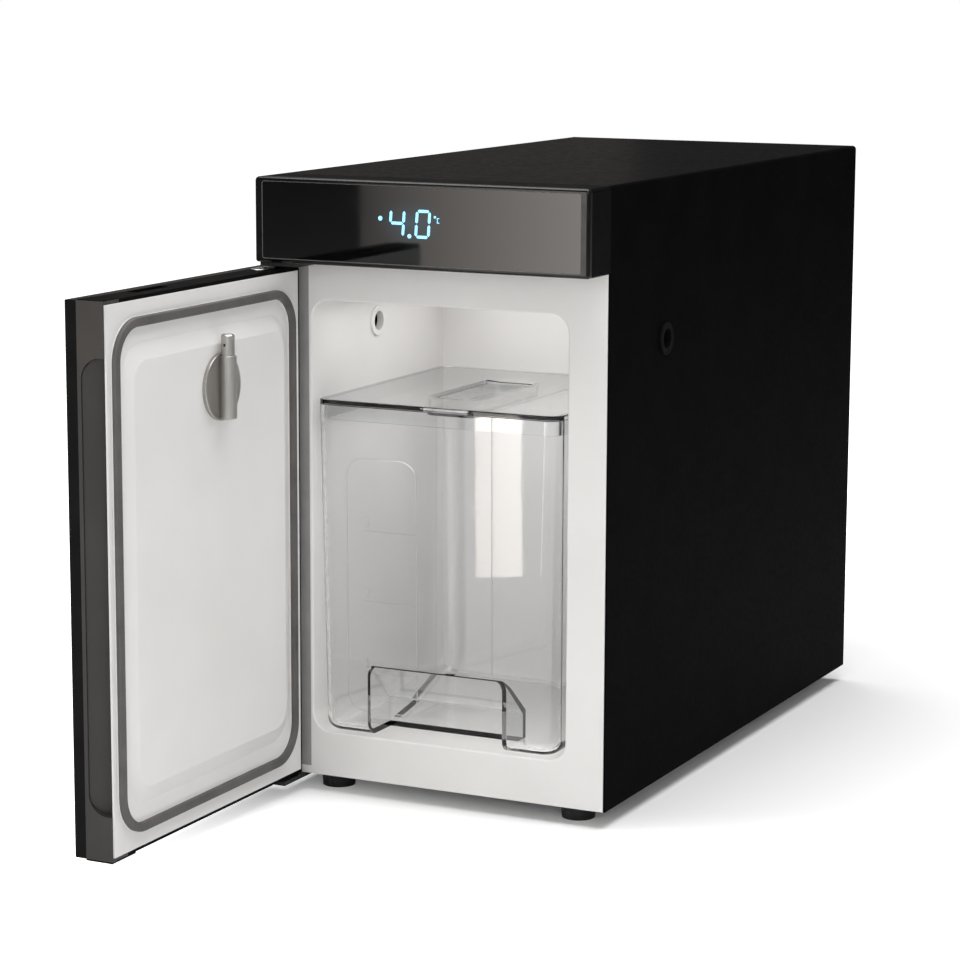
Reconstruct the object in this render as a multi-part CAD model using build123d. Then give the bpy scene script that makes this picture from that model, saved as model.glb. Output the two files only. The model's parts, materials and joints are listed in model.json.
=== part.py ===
from build123d import *
import os
from math import atan2, degrees, hypot, radians, tan

# Millimetres. X runs to the right, Y to the back and Z up. The origin is on the floor,
# under the middle of the cabinet. The door stands open by a quarter turn.

# Cabinet
CABINET_WIDTH = 216.0
CABINET_DEPTH = 424.0
CABINET_HEIGHT = 368.0
CASING_SHEET = 1.0
CASING_BEND = 2.5
REAR_FLANGE = 12.0
BASE_SHEET = 1.5
REAR_SHEET = 1.2
BULKHEAD_SHEET = 1.0
FOAM_BACK = 28.0
PANEL_FIT = 0.3

# Feet, set beside the hinge plate and mirrored to the other corners
FOOT_HEIGHT = 11.0
FOOT_TOP_DIAMETER = 22.0
FOOT_BOTTOM_DIAMETER = 20.0
FOOT_END_INSET = 22.0
FOOT_HINGE_GAP = 0.6
FOOT_SCREW_SEAT = 6.0

# Screws
SCREW_DIAMETER = 4.0
SCREW_HEAD_DIAMETER = 8.0
SCREW_HEAD_HEIGHT = 2.2
SCREW_HEAD_CHAMFER = 0.7
SCREW_OVERRUN = 3.0
SCREW_FIT = 0.1
HINGE_SCREW_DIAMETER = 3.5
HINGE_SCREW_HEAD_DIAMETER = 7.0
HINGE_SCREW_HEAD_HEIGHT = 1.4
HINGE_SCREW_LENGTH = 9.0
REAR_SCREW_ROWS = 3
REAR_SCREW_END_INSET = 30.0

# White front frame and cooled cavity, moulded as one liner
FRAME_THICKNESS = 3.0
FRAME_LEFT_STRIP = 21.0
FRAME_RIGHT_STRIP = 26.0
FRAME_BOTTOM_STRIP = 27.5
FRAME_TOP_STRIP = 24.5
OPENING_RADIUS = 11.5
OPENING_EDGE = 1.2
STRIP_THICKNESS = 1.0
STRIP_FROM_SIDE = 1.2
STRIP_FROM_OPENING = 1.9
STRIP_FROM_BOTTOM = 4.8
STRIP_FROM_TOP = 1.0
CAVITY_DEPTH = 176.0
LINER_WALL = 2.0

# Header with the display
HEADER_HEIGHT = 50.5
HEADER_PROJECTION = 30.5
HEADER_LOWER_CORNER = 1.5
HEADER_PLUG_DEPTH = 16.0
BEZEL_THICKNESS = 4.0
BEZEL_SIDE_BORDER = 5.0
BEZEL_EDGE_BORDER = 2.4
BEZEL_ROUNDING = 1.8
GLASS_CORNER = 1.5
GLASS_RECESS = 0.3
GLASS_FIT = 0.15
GLASS_LEDGE = 3.0
DISPLAY_BAY_DEPTH = 20.0
DISPLAY_BOARD_WIDTH = 120.0
DISPLAY_BOARD_MARGIN = 3.8
DISPLAY_BOARD_THICKNESS = 1.6
DISPLAY_POST_DIAMETER = 5.0
DISPLAY_POST_HEIGHT = 4.0
DISPLAY_POST_INSET = 5.0
DISPLAY_BLOCK_WIDTH = 62.0
DISPLAY_BLOCK_MARGIN = 4.0
DISPLAY_BLOCK_GAP = 0.3

# Hinge
HINGE_CAP_WALL = 0.88
DOOR_OPEN_GAP = 2.7
DOOR_REST_ANGLE = 90.0
PIN_DIAMETER = 6.0
PIN_FIT = 0.05
PIN_END_GAP = 1.0
BUSH_WALL = 1.0
BUSH_DEPTH = 10.0
BUSH_FLANGE_DIAMETER = 12.0
BUSH_FLANGE = 1.0
BUSH_FIT = 0.02
HINGE_PLATE = 2.5
HINGE_PLATE_REACH = 26.0
UPPER_PLATE_WIDTH = 26.0
LOWER_PLATE_WIDTH = 12.0
LOWER_PLATE_REAR = 46.0
HINGE_SCREW_EDGE = 6.0

# Door
DOOR_SIDE_GAP = 1.0
DOOR_TOP_GAP = 4.4
DOOR_BOTTOM_GAP = 1.2
DOOR_GAP = 4.5
DOOR_SKIN = 7.7
DOOR_SKIN_ROUNDING = 1.2
DOOR_CAP_HEIGHT = 12.0
DOOR_PAD_LENGTH = 24.0
DOOR_PAD_HEIGHT = 0.9
CAP_SLOT_LENGTH = 35.0
CAP_SLOT_WIDTH = 7.0
CAP_SLOT_DEPTH = 4.0
CAP_SLOT_RADIUS = 2.2
CAP_SLOT_FROM_EDGE = 46.5
CAP_SLOT_FROM_FACE = 13.2
HINGE_BAR_WIDTH = 14.0
GRIP_BAR_WIDTH = 16.0
GRIP_RECESS_DEPTH = 9.0
GRIP_EDGE_DEPTH = 1.2
GRIP_WALL = 10.1
GRIP_RADIUS = 12.0
GRIP_FROM_TOP = 31.0
GRIP_FROM_BOTTOM = 25.5
DOOR_LINER = 1.2
DOOR_LINER_HINGE_INSET = 3.4
DOOR_LINER_FREE_INSET = 1.0
DOOR_LINER_TOP_INSET = 2.2
DOOR_LINER_BOTTOM_INSET = 2.4
GASKET_HINGE_MARGIN = 10.0
GASKET_FREE_MARGIN = 5.4
GASKET_END_MARGIN = 11.2
GASKET_WIDTH = 5.4
GASKET_HEIGHT = 2.6
GASKET_RADIUS = 24.0
GASKET_ROUNDING = 1.1
BEAD_HEIGHT = 0.4
BEAD_SHOULDER = 0.3
RAISED_PANEL_HINGE_MARGIN = 17.5
RAISED_PANEL_FREE_MARGIN = 13.0
RAISED_PANEL_TOP_MARGIN = 25.5
RAISED_PANEL_BOTTOM_MARGIN = 27.0
RAISED_PANEL_RADIUS = 22.0
RAISED_PANEL_FOOT = 0.1
RAISED_PANEL_SLOPE = 9.5
RAISED_PANEL_ROUNDING = 2.5
RAISED_PANEL_CLOSED_GAP = 0.8

# Nozzle and its holder on the door
HOLDER_SIDE_SHIFT = -6.0
HOLDER_LID_GAP = 1.0
HOLDER_DISC_DIAMETER = 39.0
HOLDER_DISC_THICKNESS = 2.5
HOLDER_BOSS_DIAMETER = 9.8
HOLDER_BOSS_LENGTH = 36.3
HOLDER_BOSS_OUT = 5.5
HOLDER_BOSS_RISE = 1.3
HOLDER_SOCKET_DEPTH = 27.0
HOLDER_ROUNDING = 0.7
HOLDER_BOSS_ROUNDING = 0.5
NOZZLE_DIAMETER = 7.8
NOZZLE_STAND = 12.2
NOZZLE_FIT = 0.1
NOZZLE_SEAT_GAP = 0.2
NOZZLE_BORE = 3.0
NOZZLE_AIR_HOLE = 1.6
NOZZLE_AIR_HOLE_DOWN = 6.0
NOZZLE_CHAMFER = 0.8

# Hose ports through both sides
HOSE_FROM_FRONT = 84.0
HOSE_BELOW_CORNER = 0.3
HOSE_BORE = 12.0
HOSE_TUBE_WALL = 1.5
HOSE_FLANGE_DIAMETER = 19.0
HOSE_FLANGE = 1.5
HOSE_SPIGOT = 3.0
HOSE_RING_DIAMETER = 20.0
HOSE_RING = 1.2
HOSE_ROUNDING = 0.6
HOSE_FIT = 0.1

# Milk container and its lid
CONTAINER_LEFT_GAP = 1.5
CONTAINER_RIGHT_GAP = 6.0
CONTAINER_FRONT_GAP = 0.6
CONTAINER_BACK_GAP = 4.4
CONTAINER_FLOOR_GAP = 0.3
CONTAINER_HEADROOM = 60.0
CONTAINER_WALL = 2.2
CONTAINER_FLOOR = 3.0
CONTAINER_SIDE_DRAFT = 2.3
CONTAINER_END_DRAFT = 2.0
CONTAINER_TOP_RADIUS = 9.0
CONTAINER_BOTTOM_RADIUS = 12.0
CONTAINER_BOTTOM_ROUNDING = 7.0
POCKET_WIDTH = 89.0
POCKET_DEPTH = 27.0
POCKET_FRONT_HEIGHT = 44.5
POCKET_BACK_HEIGHT = 18.0
POCKET_RADIUS = 8.0
TROUGH_RADIUS = 6.0
TROUGH_DEPTH = 1.2
TROUGH_INSET = 14.0
LID_PLATE = 3.0
LID_LIP_DEPTH = 9.0
LID_LIP_WALL = 1.6
LID_LIP_FIT = 0.5
LID_GAP = 0.3
LID_ROUNDING = 0.8
LID_RECESS_FROM_LEFT = 55.5
LID_RECESS_FROM_FRONT = 39.5
LID_RECESS_WIDTH = 35.0
LID_RECESS_LENGTH = 88.0
LID_RECESS_DEPTH = 9.0
LID_RECESS_WALL = 1.8
LID_RECESS_RADIUS = 8.0
LID_HOSE_HOLE = 12.0
LID_HOSE_FROM_END = 16.0

# Evaporator and probe on the outside of the cavity
EVAPORATOR_PLATE = 2.0
EVAPORATOR_SIDE_MARGIN = 10.0
EVAPORATOR_END_MARGIN = 25.0
EVAPORATOR_RUNS = 6
EVAPORATOR_TUBE = 6.0
EVAPORATOR_TUBE_LIFT = 0.5
EVAPORATOR_STUB_OUT = 6.0
EVAPORATOR_STUB_GAP = 60.0
STUB_HOLE_FIT = 0.4
PROBE_DIAMETER = 6.0
PROBE_LENGTH = 30.0
PROBE_FROM_FRONT = 110.0

# Compressor
COMPRESSOR_DIAMETER = 100.0
COMPRESSOR_HEIGHT = 118.0
COMPRESSOR_TOP_ROUNDING = 24.0
COMPRESSOR_BOTTOM_ROUNDING = 12.0
COMPRESSOR_FRONT_GAP = 30.0
COMPRESSOR_SIDE_GAP = 10.0
COMPRESSOR_PLATE_WIDTH = 122.0
COMPRESSOR_PLATE_DEPTH = 92.0
COMPRESSOR_PLATE = 3.0
COMPRESSOR_STUB_HEIGHT = 12.0
COMPRESSOR_STUB_OFFSET = 15.0
GROMMET_DIAMETER = 18.0
GROMMET_HEIGHT = 12.0
GROMMET_INSET = 11.0

# Fan and condenser on the rear cover
FAN_SIZE = 120.0
FAN_DEPTH = 25.0
FAN_CORNER = 6.0
FAN_RIM = 3.0
FAN_TIP_GAP = 2.5
FAN_HUB_DIAMETER = 40.0
FAN_HUB_PLATE = 4.0
FAN_HUB_GAP = 0.6
FAN_FRONT_GAP = 2.0
FAN_STRUT_WIDTH = 6.0
FAN_SHAFT_DIAMETER = 3.0
FAN_SHAFT_FIT = 0.08
FAN_SHAFT_LENGTH = 14.0
FAN_BLADES = 7
FAN_BLADE_ROOT = 10.0
FAN_BLADE_CHORD = 22.0
FAN_BLADE_THICKNESS = 1.6
FAN_BLADE_PITCH = 35.0
FAN_SCREW_INSET = 7.5
FAN_BELOW_CEILING = 80.0
CONDENSER_DEPTH = 32.0
CONDENSER_END_PLATE = 1.5
CONDENSER_FIN = 0.8
CONDENSER_FIN_PITCH = 6.0
CONDENSER_FIN_INSET = 2.0
CONDENSER_TUBE = 8.0
CONDENSER_ROWS = 4
CONDENSER_TURN = 10.0
CONDENSER_TAIL = 26.0

# Refrigerant lines
SUCTION_TUBE = 8.0
DISCHARGE_TUBE = 6.0
CAPILLARY_TUBE = 3.0
TUBE_BEND = 14.0
TUBE_BEND_SHARE = 0.45
DRIER_DIAMETER = 18.0
DRIER_LENGTH = 70.0
DRIER_NECK = 6.0
DRIER_ROUNDING = 4.0
DRIER_SIDE_GAP = 3.5

# Control box
CONTROL_WIDTH = 76.0
CONTROL_DEPTH = 36.0
CONTROL_HEIGHT = 110.0
CONTROL_WALL = 2.0
CONTROL_SIDE_GAP = 6.0
CONTROL_BELOW_CEILING = 50.0
CONTROL_BOARD = 1.6
CONTROL_BOARD_INSET = 4.0
CONTROL_POST = 6.0
CONTROL_POST_DIAMETER = 6.0

# Mains inlet and rocker switch in the rear cover
INLET_FROM_SIDE = 45.0
INLET_RAISE = 48.0
INLET_WIDTH = 27.5
INLET_HEIGHT = 20.0
INLET_DEPTH = 24.0
INLET_FLANGE_WIDTH = 32.0
INLET_FLANGE_HEIGHT = 25.0
INLET_FLANGE = 2.0
INLET_WALL = 2.0
INLET_SOCKET_DEPTH = 17.0
INLET_PIN_WIDTH = 2.0
INLET_PIN_HEIGHT = 4.0
INLET_PIN_LENGTH = 14.0
INLET_PIN_SPACING = 7.0
SWITCH_SPACING = 40.0
SWITCH_WALL = 2.0
SWITCH_FLANGE = 2.0
SWITCH_FLANGE_BORDER = 2.0
SWITCH_DEPTH = 16.0
ROCKER_RADIUS = 7.5
ROCKER_WIDTH = 10.0
ROCKER_TILT = 8.0
ROCKER_CREST = 3.0
ROCKER_FIT = 0.3
ROCKER_PIVOT_DIAMETER = 3.0
ROCKER_PIVOT_LENGTH = 1.2
ROCKER_PIVOT_FIT = 0.08

# Vents
VENT_SLOT_HEIGHT = 4.0
VENT_SLOT_PITCH = 9.0
GRILLE_MARGIN = 4.0
SIDE_VENT_MARGIN = 10.0
BASE_VENT_LENGTH = 70.0
BASE_VENT_COUNT = 6

# Places worked out from the sizes above
HALF_WIDTH = CABINET_WIDTH / 2
FRONT = -CABINET_DEPTH / 2
BACK = CABINET_DEPTH / 2
BOTTOM = FOOT_HEIGHT
TOP = BOTTOM + CABINET_HEIGHT
INSIDE = HALF_WIDTH - CASING_SHEET - PANEL_FIT
INSIDE_X = (-INSIDE, INSIDE)
CEILING = TOP - CASING_SHEET - PANEL_FIT
BASE_TOP = BOTTOM + BASE_SHEET
REAR_INNER = BACK - REAR_SHEET
HEADER_BOTTOM = TOP - HEADER_HEIGHT
HEADER_FRONT = FRONT - HEADER_PROJECTION
BEZEL_BACK = HEADER_FRONT + BEZEL_THICKNESS
GLASS_X = (BEZEL_SIDE_BORDER - HALF_WIDTH, HALF_WIDTH - BEZEL_SIDE_BORDER)
GLASS_Z = (HEADER_BOTTOM + BEZEL_EDGE_BORDER, TOP - BEZEL_EDGE_BORDER)
BAY_FLOOR = BEZEL_BACK + DISPLAY_BAY_DEPTH

OPENING_X = (FRAME_LEFT_STRIP - HALF_WIDTH, HALF_WIDTH - FRAME_RIGHT_STRIP)
OPENING_Z = (BOTTOM + FRAME_BOTTOM_STRIP, HEADER_BOTTOM - FRAME_TOP_STRIP)
CAVITY_BACK = FRONT + CAVITY_DEPTH
TUB_BACK = CAVITY_BACK + LINER_WALL
BULKHEAD_Y = (TUB_BACK + FOAM_BACK, TUB_BACK + FOAM_BACK + BULKHEAD_SHEET)

# The door's own places are those of the closed door
DOOR_X = (DOOR_SIDE_GAP - HALF_WIDTH, HALF_WIDTH - DOOR_SIDE_GAP)
DOOR_Z = (BOTTOM + DOOR_BOTTOM_GAP, HEADER_BOTTOM - DOOR_TOP_GAP)
DOOR_OUTER = HEADER_FRONT
DOOR_INNER = FRONT - DOOR_GAP
CORE_Y = (DOOR_OUTER + DOOR_SKIN, DOOR_INNER - DOOR_LINER)
CORE_Z = (DOOR_Z[0] + DOOR_CAP_HEIGHT, DOOR_Z[1] - DOOR_CAP_HEIGHT)
CAP_X = (DOOR_X[0], DOOR_X[1] - GRIP_BAR_WIDTH)
SIDE_PANEL_Y = (FRONT + FRAME_THICKNESS, CAVITY_BACK)
SIDE_PANEL_Z = (OPENING_Z[0] + OPENING_RADIUS, OPENING_Z[1] - OPENING_RADIUS)
GASKET_X = (DOOR_X[0] + GASKET_HINGE_MARGIN, DOOR_X[1] - GASKET_FREE_MARGIN)
GASKET_Z = (DOOR_Z[0] + GASKET_END_MARGIN, DOOR_Z[1] - GASKET_END_MARGIN)
BEAD_FACE = DOOR_INNER + BEAD_HEIGHT
RAISED_FACE = FRONT - RAISED_PANEL_CLOSED_GAP

# The hinge line, where the door's hinge side ends up clear of the frame when it is open
BUSH_RADIUS = PIN_DIAMETER / 2 + PIN_FIT + BUSH_WALL
HINGE_Y = CORE_Y[1] - HINGE_CAP_WALL - BUSH_RADIUS - BUSH_FIT
HINGE_X = DOOR_X[0] + FRONT - HINGE_Y - DOOR_OPEN_GAP
UPPER_PLATE_X = (DOOR_X[0], DOOR_X[0] + UPPER_PLATE_WIDTH)

FOOT_X = -(HINGE_X + LOWER_PLATE_WIDTH / 2 + FOOT_HINGE_GAP + FOOT_TOP_DIAMETER / 2)
FOOT_Y = BACK - FOOT_END_INSET
FOOT_PLACES = {
    "front_left": (-FOOT_X, -FOOT_Y),
    "front_right": (FOOT_X, -FOOT_Y),
    "rear_left": (-FOOT_X, FOOT_Y),
    "rear_right": (FOOT_X, FOOT_Y),
}

HOSE_Y = FRONT + HOSE_FROM_FRONT
HOSE_Z = OPENING_Z[1] - OPENING_RADIUS - HOSE_BELOW_CORNER - HOSE_FLANGE_DIAMETER / 2
HOSE_TUBE_RADIUS = HOSE_BORE / 2 + HOSE_TUBE_WALL
HOSE_END = HALF_WIDTH + HOSE_RING

LID_X = (OPENING_X[0] + CONTAINER_LEFT_GAP, OPENING_X[1] - CONTAINER_RIGHT_GAP)
LID_Y = (FRONT + CONTAINER_FRONT_GAP, CAVITY_BACK - CONTAINER_BACK_GAP)
LID_TOP = OPENING_Z[1] - CONTAINER_HEADROOM
CONTAINER_X = sum(LID_X) / 2
CONTAINER_Y = sum(LID_Y) / 2
CONTAINER_WIDTH = LID_X[1] - LID_X[0]
CONTAINER_DEPTH = LID_Y[1] - LID_Y[0]
CONTAINER_Z = (OPENING_Z[0] + CONTAINER_FLOOR_GAP, LID_TOP - LID_PLATE - LID_GAP)
LID_RECESS_LEFT = LID_X[0] + LID_RECESS_FROM_LEFT
LID_RECESS_FRONT = LID_Y[0] + LID_RECESS_FROM_FRONT
LID_RECESS_X = (LID_RECESS_LEFT, LID_RECESS_LEFT + LID_RECESS_WIDTH)
LID_RECESS_Y = (LID_RECESS_FRONT, LID_RECESS_FRONT + LID_RECESS_LENGTH)

HOLDER_Z = (LID_TOP + HOLDER_LID_GAP, LID_TOP + HOLDER_LID_GAP + HOLDER_DISC_DIAMETER)
BOSS_Z = (HOLDER_Z[0] + HOLDER_BOSS_RISE, HOLDER_Z[0] + HOLDER_BOSS_RISE + HOLDER_BOSS_LENGTH)
HOLDER_AXIS_Y = RAISED_FACE + HOLDER_BOSS_OUT

EVAPORATOR_X = (OPENING_X[0] + EVAPORATOR_SIDE_MARGIN, OPENING_X[1] - EVAPORATOR_SIDE_MARGIN)
EVAPORATOR_Z = (OPENING_Z[0] + EVAPORATOR_END_MARGIN, OPENING_Z[1] - EVAPORATOR_END_MARGIN)
EVAPORATOR_BACK = TUB_BACK + EVAPORATOR_PLATE
STUB_END = BULKHEAD_Y[1] + EVAPORATOR_STUB_OUT
STUB_INLET = (EVAPORATOR_X[1] - EVAPORATOR_SIDE_MARGIN, sum(EVAPORATOR_Z) / 2)
STUB_OUTLET = (STUB_INLET[0], STUB_INLET[1] + EVAPORATOR_STUB_GAP)

COMPRESSOR_X = COMPRESSOR_SIDE_GAP + COMPRESSOR_PLATE_WIDTH / 2 - INSIDE
COMPRESSOR_Y = BULKHEAD_Y[1] + COMPRESSOR_FRONT_GAP + COMPRESSOR_DIAMETER / 2
GROMMET_TOP = BASE_TOP + GROMMET_HEIGHT
COMPRESSOR_BOTTOM = GROMMET_TOP + COMPRESSOR_PLATE
COMPRESSOR_TOP = COMPRESSOR_BOTTOM + COMPRESSOR_HEIGHT
STUB_TOP = COMPRESSOR_TOP + COMPRESSOR_STUB_HEIGHT
DISCHARGE_PLACE = (COMPRESSOR_X, COMPRESSOR_Y + COMPRESSOR_STUB_OFFSET)
SUCTION_PLACE = (COMPRESSOR_X + COMPRESSOR_STUB_OFFSET, COMPRESSOR_Y - COMPRESSOR_STUB_OFFSET)

TAIL_X = INSIDE - DRIER_SIDE_GAP - DRIER_DIAMETER / 2
FAN_X = TAIL_X - CONDENSER_TURN - FAN_SIZE / 2
FAN_Z = CEILING - FAN_BELOW_CEILING - FAN_SIZE / 2
FAN_Y = (REAR_INNER - FAN_DEPTH, REAR_INNER)
FAN_HOLE_RADIUS = FAN_SIZE / 2 - FAN_RIM
FAN_BLADE_TIP = FAN_HOLE_RADIUS - FAN_TIP_GAP
CONDENSER_Y = (FAN_Y[0] - CONDENSER_DEPTH, FAN_Y[0])
CONDENSER_X = (FAN_X - FAN_SIZE / 2, FAN_X + FAN_SIZE / 2)
CONDENSER_Z = (FAN_Z - FAN_SIZE / 2, FAN_Z + FAN_SIZE / 2)
ROW_PITCH = FAN_SIZE / CONDENSER_ROWS
ROW_Z = [CONDENSER_Z[1] - (row + 0.5) * ROW_PITCH for row in range(CONDENSER_ROWS)]
TAIL_Y = sum(CONDENSER_Y) / 2 - CONDENSER_TAIL

CONTROL_X = (CONTROL_SIDE_GAP - INSIDE, CONTROL_SIDE_GAP - INSIDE + CONTROL_WIDTH)
CONTROL_Y = (BULKHEAD_Y[1], BULKHEAD_Y[1] + CONTROL_DEPTH)
CONTROL_Z = (CEILING - CONTROL_BELOW_CEILING - CONTROL_HEIGHT, CEILING - CONTROL_BELOW_CEILING)

INLET_X = INLET_FROM_SIDE - INSIDE
INLET_Z = BOTTOM + INLET_RAISE
SWITCH_X = INLET_X + SWITCH_SPACING
ROCKER_Y = BACK + SWITCH_FLANGE - ROCKER_CREST + ROCKER_FIT
SWITCH_SLOT_X = ROCKER_WIDTH / 2 + ROCKER_FIT
SWITCH_SLOT_Z = ROCKER_RADIUS + ROCKER_FIT
SWITCH_BODY_X = (SWITCH_X - SWITCH_SLOT_X - SWITCH_WALL, SWITCH_X + SWITCH_SLOT_X + SWITCH_WALL)
SWITCH_BODY_Z = (INLET_Z - SWITCH_SLOT_Z - SWITCH_WALL, INLET_Z + SWITCH_SLOT_Z + SWITCH_WALL)

THROUGH = 1.0


def grown(ends, amount):
    """The two ends of a span, each moved outwards by the amount."""
    return (ends[0] - amount, ends[1] + amount)


def around(middle, size):
    """The two ends of a span of this size about its middle."""
    return (middle - size / 2, middle + size / 2)


def block(x, y, z):
    """A box given by its span on each axis."""
    spans = (x, y, z)
    sizes = [high - low for low, high in spans]
    middles = [(high + low) / 2 for low, high in spans]
    return Pos(*middles) * Box(*sizes)


def rod_x(radius, x, y, z):
    return Pos(sum(x) / 2, y, z) * Rot(0, 90, 0) * Cylinder(radius, x[1] - x[0])


def rod_y(radius, x, y, z):
    return Pos(x, sum(y) / 2, z) * Rot(90, 0, 0) * Cylinder(radius, y[1] - y[0])


def rod_z(radius, x, y, z):
    return Pos(x, y, sum(z) / 2) * Cylinder(radius, z[1] - z[0])


def window(across, along, radius):
    """A rounded rectangle given by its span on each axis of the drawing."""
    middle = Pos(sum(across) / 2, sum(along) / 2)
    return middle * RectangleRounded(across[1] - across[0], along[1] - along[0], radius)


def vent_slot(across, along):
    """A slot with round ends, long across the drawing."""
    return Pos(sum(across) / 2, sum(along) / 2) * SlotOverall(across[1] - across[0], along[1] - along[0])


def prism_x(outline, x):
    """An outline drawn in Y and Z, extruded along X."""
    return Pos(x[0], 0, 0) * extrude(Plane.YZ * outline, x[1] - x[0])


def prism_y(outline, y):
    """An outline drawn in X and Z, extruded along Y."""
    return Pos(0, y[1], 0) * extrude(Plane.XZ * outline, y[1] - y[0])


def prism_z(outline, z):
    """An outline drawn in X and Y, extruded along Z."""
    return Pos(0, 0, z[0]) * extrude(outline, z[1] - z[0])


def tube(points, diameter):
    """A round line through the points, with bends as wide as its shortest run allows."""
    path_points = [Vector(*point) for point in points]
    runs = [(b - a).length for a, b in zip(path_points, path_points[1:])]
    path = FilletPolyline(*path_points, radius=min(TUBE_BEND, TUBE_BEND_SHARE * min(runs)))
    start = Plane(origin=path_points[0], z_dir=path_points[1] - path_points[0])
    return sweep(start * Circle(diameter / 2), path=path)


def joined(pieces):
    """Separate solids of one kind as one group."""
    return Compound(children=list(pieces))


# Casing, base and rear

def arch(inset):
    """The casing's outline from the front, moved inwards by the inset."""
    height = CABINET_HEIGHT - inset
    outline = Pos(0, BOTTOM + height / 2) * Rectangle(2 * (HALF_WIDTH - inset), height)
    return fillet(outline.vertices().group_by(Axis.Y)[-1], CASING_BEND - inset)


def fitted_panel(y, low):
    """A panel that fits between the casing's sides and under its top."""
    outline = Pos(0, (low + CEILING) / 2) * Rectangle(2 * INSIDE, CEILING - low)
    return prism_y(fillet(outline.vertices().group_by(Axis.Y)[-1], CASING_BEND), y)


def casing_side(side):
    """A side panel. The side is -1 on the left and 1 on the right."""
    x = sorted((side * HALF_WIDTH, side * (HALF_WIDTH - CASING_SHEET)))
    panel = block(x, (FRONT, BACK), (BOTTOM, TOP - CASING_BEND))
    return panel - rod_x(HOSE_TUBE_RADIUS + HOSE_FIT, grown(x, THROUGH), HOSE_Y, HOSE_Z)


def casing_top():
    """The top panel, bent down to meet both side panels."""
    sheet = prism_y(arch(0) - arch(CASING_SHEET), (FRONT, BACK))
    across = grown((-HALF_WIDTH, HALF_WIDTH), THROUGH)
    return sheet - block(across, grown((FRONT, BACK), THROUGH), (BOTTOM - THROUGH, TOP - CASING_BEND))


def rear_frame():
    """The frame inside the casing's rear edge that the rear cover is screwed to."""
    y = (REAR_INNER - CASING_SHEET, REAR_INNER)
    opening_x = grown((-HALF_WIDTH, HALF_WIDTH), -REAR_FLANGE)
    frame = fitted_panel(y, BASE_TOP)
    frame -= block(opening_x, grown(y, THROUGH), (BOTTOM, TOP - REAR_FLANGE))
    for x, z in rear_screw_places():
        frame -= rod_y(SCREW_DIAMETER / 2 + SCREW_FIT, x, grown(y, THROUGH), z)
    return frame


def rear_screw_places():
    x = HALF_WIDTH - REAR_FLANGE / 2
    low = BOTTOM + REAR_SCREW_END_INSET
    step = (TOP - BOTTOM - 2 * REAR_SCREW_END_INSET) / (REAR_SCREW_ROWS - 1)
    return [(side * x, low + row * step) for side in (-1, 1) for row in range(REAR_SCREW_ROWS)]


def fan_screw_places():
    reach = FAN_SIZE / 2 - FAN_SCREW_INSET
    return [(FAN_X + a * reach, FAN_Z + b * reach) for a in (-1, 1) for b in (-1, 1)]


def lower_hinge_screw_places():
    first = FRONT + FRAME_THICKNESS + HINGE_SCREW_EDGE
    last = FRONT + LOWER_PLATE_REAR - HINGE_SCREW_EDGE
    return [(HINGE_X, first), (HINGE_X, last)]


def upper_hinge_screw_places():
    x = UPPER_PLATE_X[1] - HINGE_SCREW_EDGE
    return [(x, FRONT - HINGE_SCREW_EDGE), (x, FRONT - HINGE_PLATE_REACH + HINGE_SCREW_EDGE)]


def base_pan():
    pan = block(INSIDE_X, (FRONT + FRAME_THICKNESS, REAR_INNER), (BOTTOM, BASE_TOP))
    through = grown((BOTTOM, BASE_TOP), THROUGH)
    for x, y in FOOT_PLACES.values():
        pan -= rod_z(SCREW_DIAMETER / 2 + SCREW_FIT, x, y, through)
    for x, y in lower_hinge_screw_places():
        pan -= rod_z(HINGE_SCREW_DIAMETER / 2 + SCREW_FIT, x, y, through)
    for row in range(BASE_VENT_COUNT):
        y = COMPRESSOR_Y + (row - (BASE_VENT_COUNT - 1) / 2) * VENT_SLOT_PITCH
        slot = vent_slot(around(FAN_X, BASE_VENT_LENGTH), around(y, VENT_SLOT_HEIGHT))
        pan -= prism_z(slot, through)
    return pan


def vent_rows(low, high):
    """Middle heights of the vent slots that fit between two heights."""
    count = int((high - low) / VENT_SLOT_PITCH)
    middle = (low + high) / 2
    return [middle + (row - (count - 1) / 2) * VENT_SLOT_PITCH for row in range(count)]


def rear_cover():
    cover = fitted_panel((REAR_INNER, BACK), BOTTOM)
    through = grown((REAR_INNER, BACK), THROUGH)
    grille_radius = FAN_HOLE_RADIUS - GRILLE_MARGIN
    for z in vent_rows(FAN_Z - grille_radius, FAN_Z + grille_radius):
        half = (grille_radius ** 2 - (z - FAN_Z) ** 2) ** 0.5
        slot = vent_slot((FAN_X - half, FAN_X + half), around(z, VENT_SLOT_HEIGHT))
        cover -= prism_y(slot, through)
    vent_x = (SIDE_VENT_MARGIN + REAR_FLANGE - HALF_WIDTH, CONDENSER_X[0] - SIDE_VENT_MARGIN)
    for z in vent_rows(*CONDENSER_Z):
        slot = vent_slot(vent_x, around(z, VENT_SLOT_HEIGHT))
        cover -= prism_y(slot, through)
    cover -= block(around(INLET_X, INLET_WIDTH + 2 * PANEL_FIT), through,
                   around(INLET_Z, INLET_HEIGHT + 2 * PANEL_FIT))
    cover -= block(grown(SWITCH_BODY_X, PANEL_FIT), through, grown(SWITCH_BODY_Z, PANEL_FIT))
    for x, z in rear_screw_places() + fan_screw_places():
        cover -= rod_y(SCREW_DIAMETER / 2 + SCREW_FIT, x, through, z)
    return cover


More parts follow.
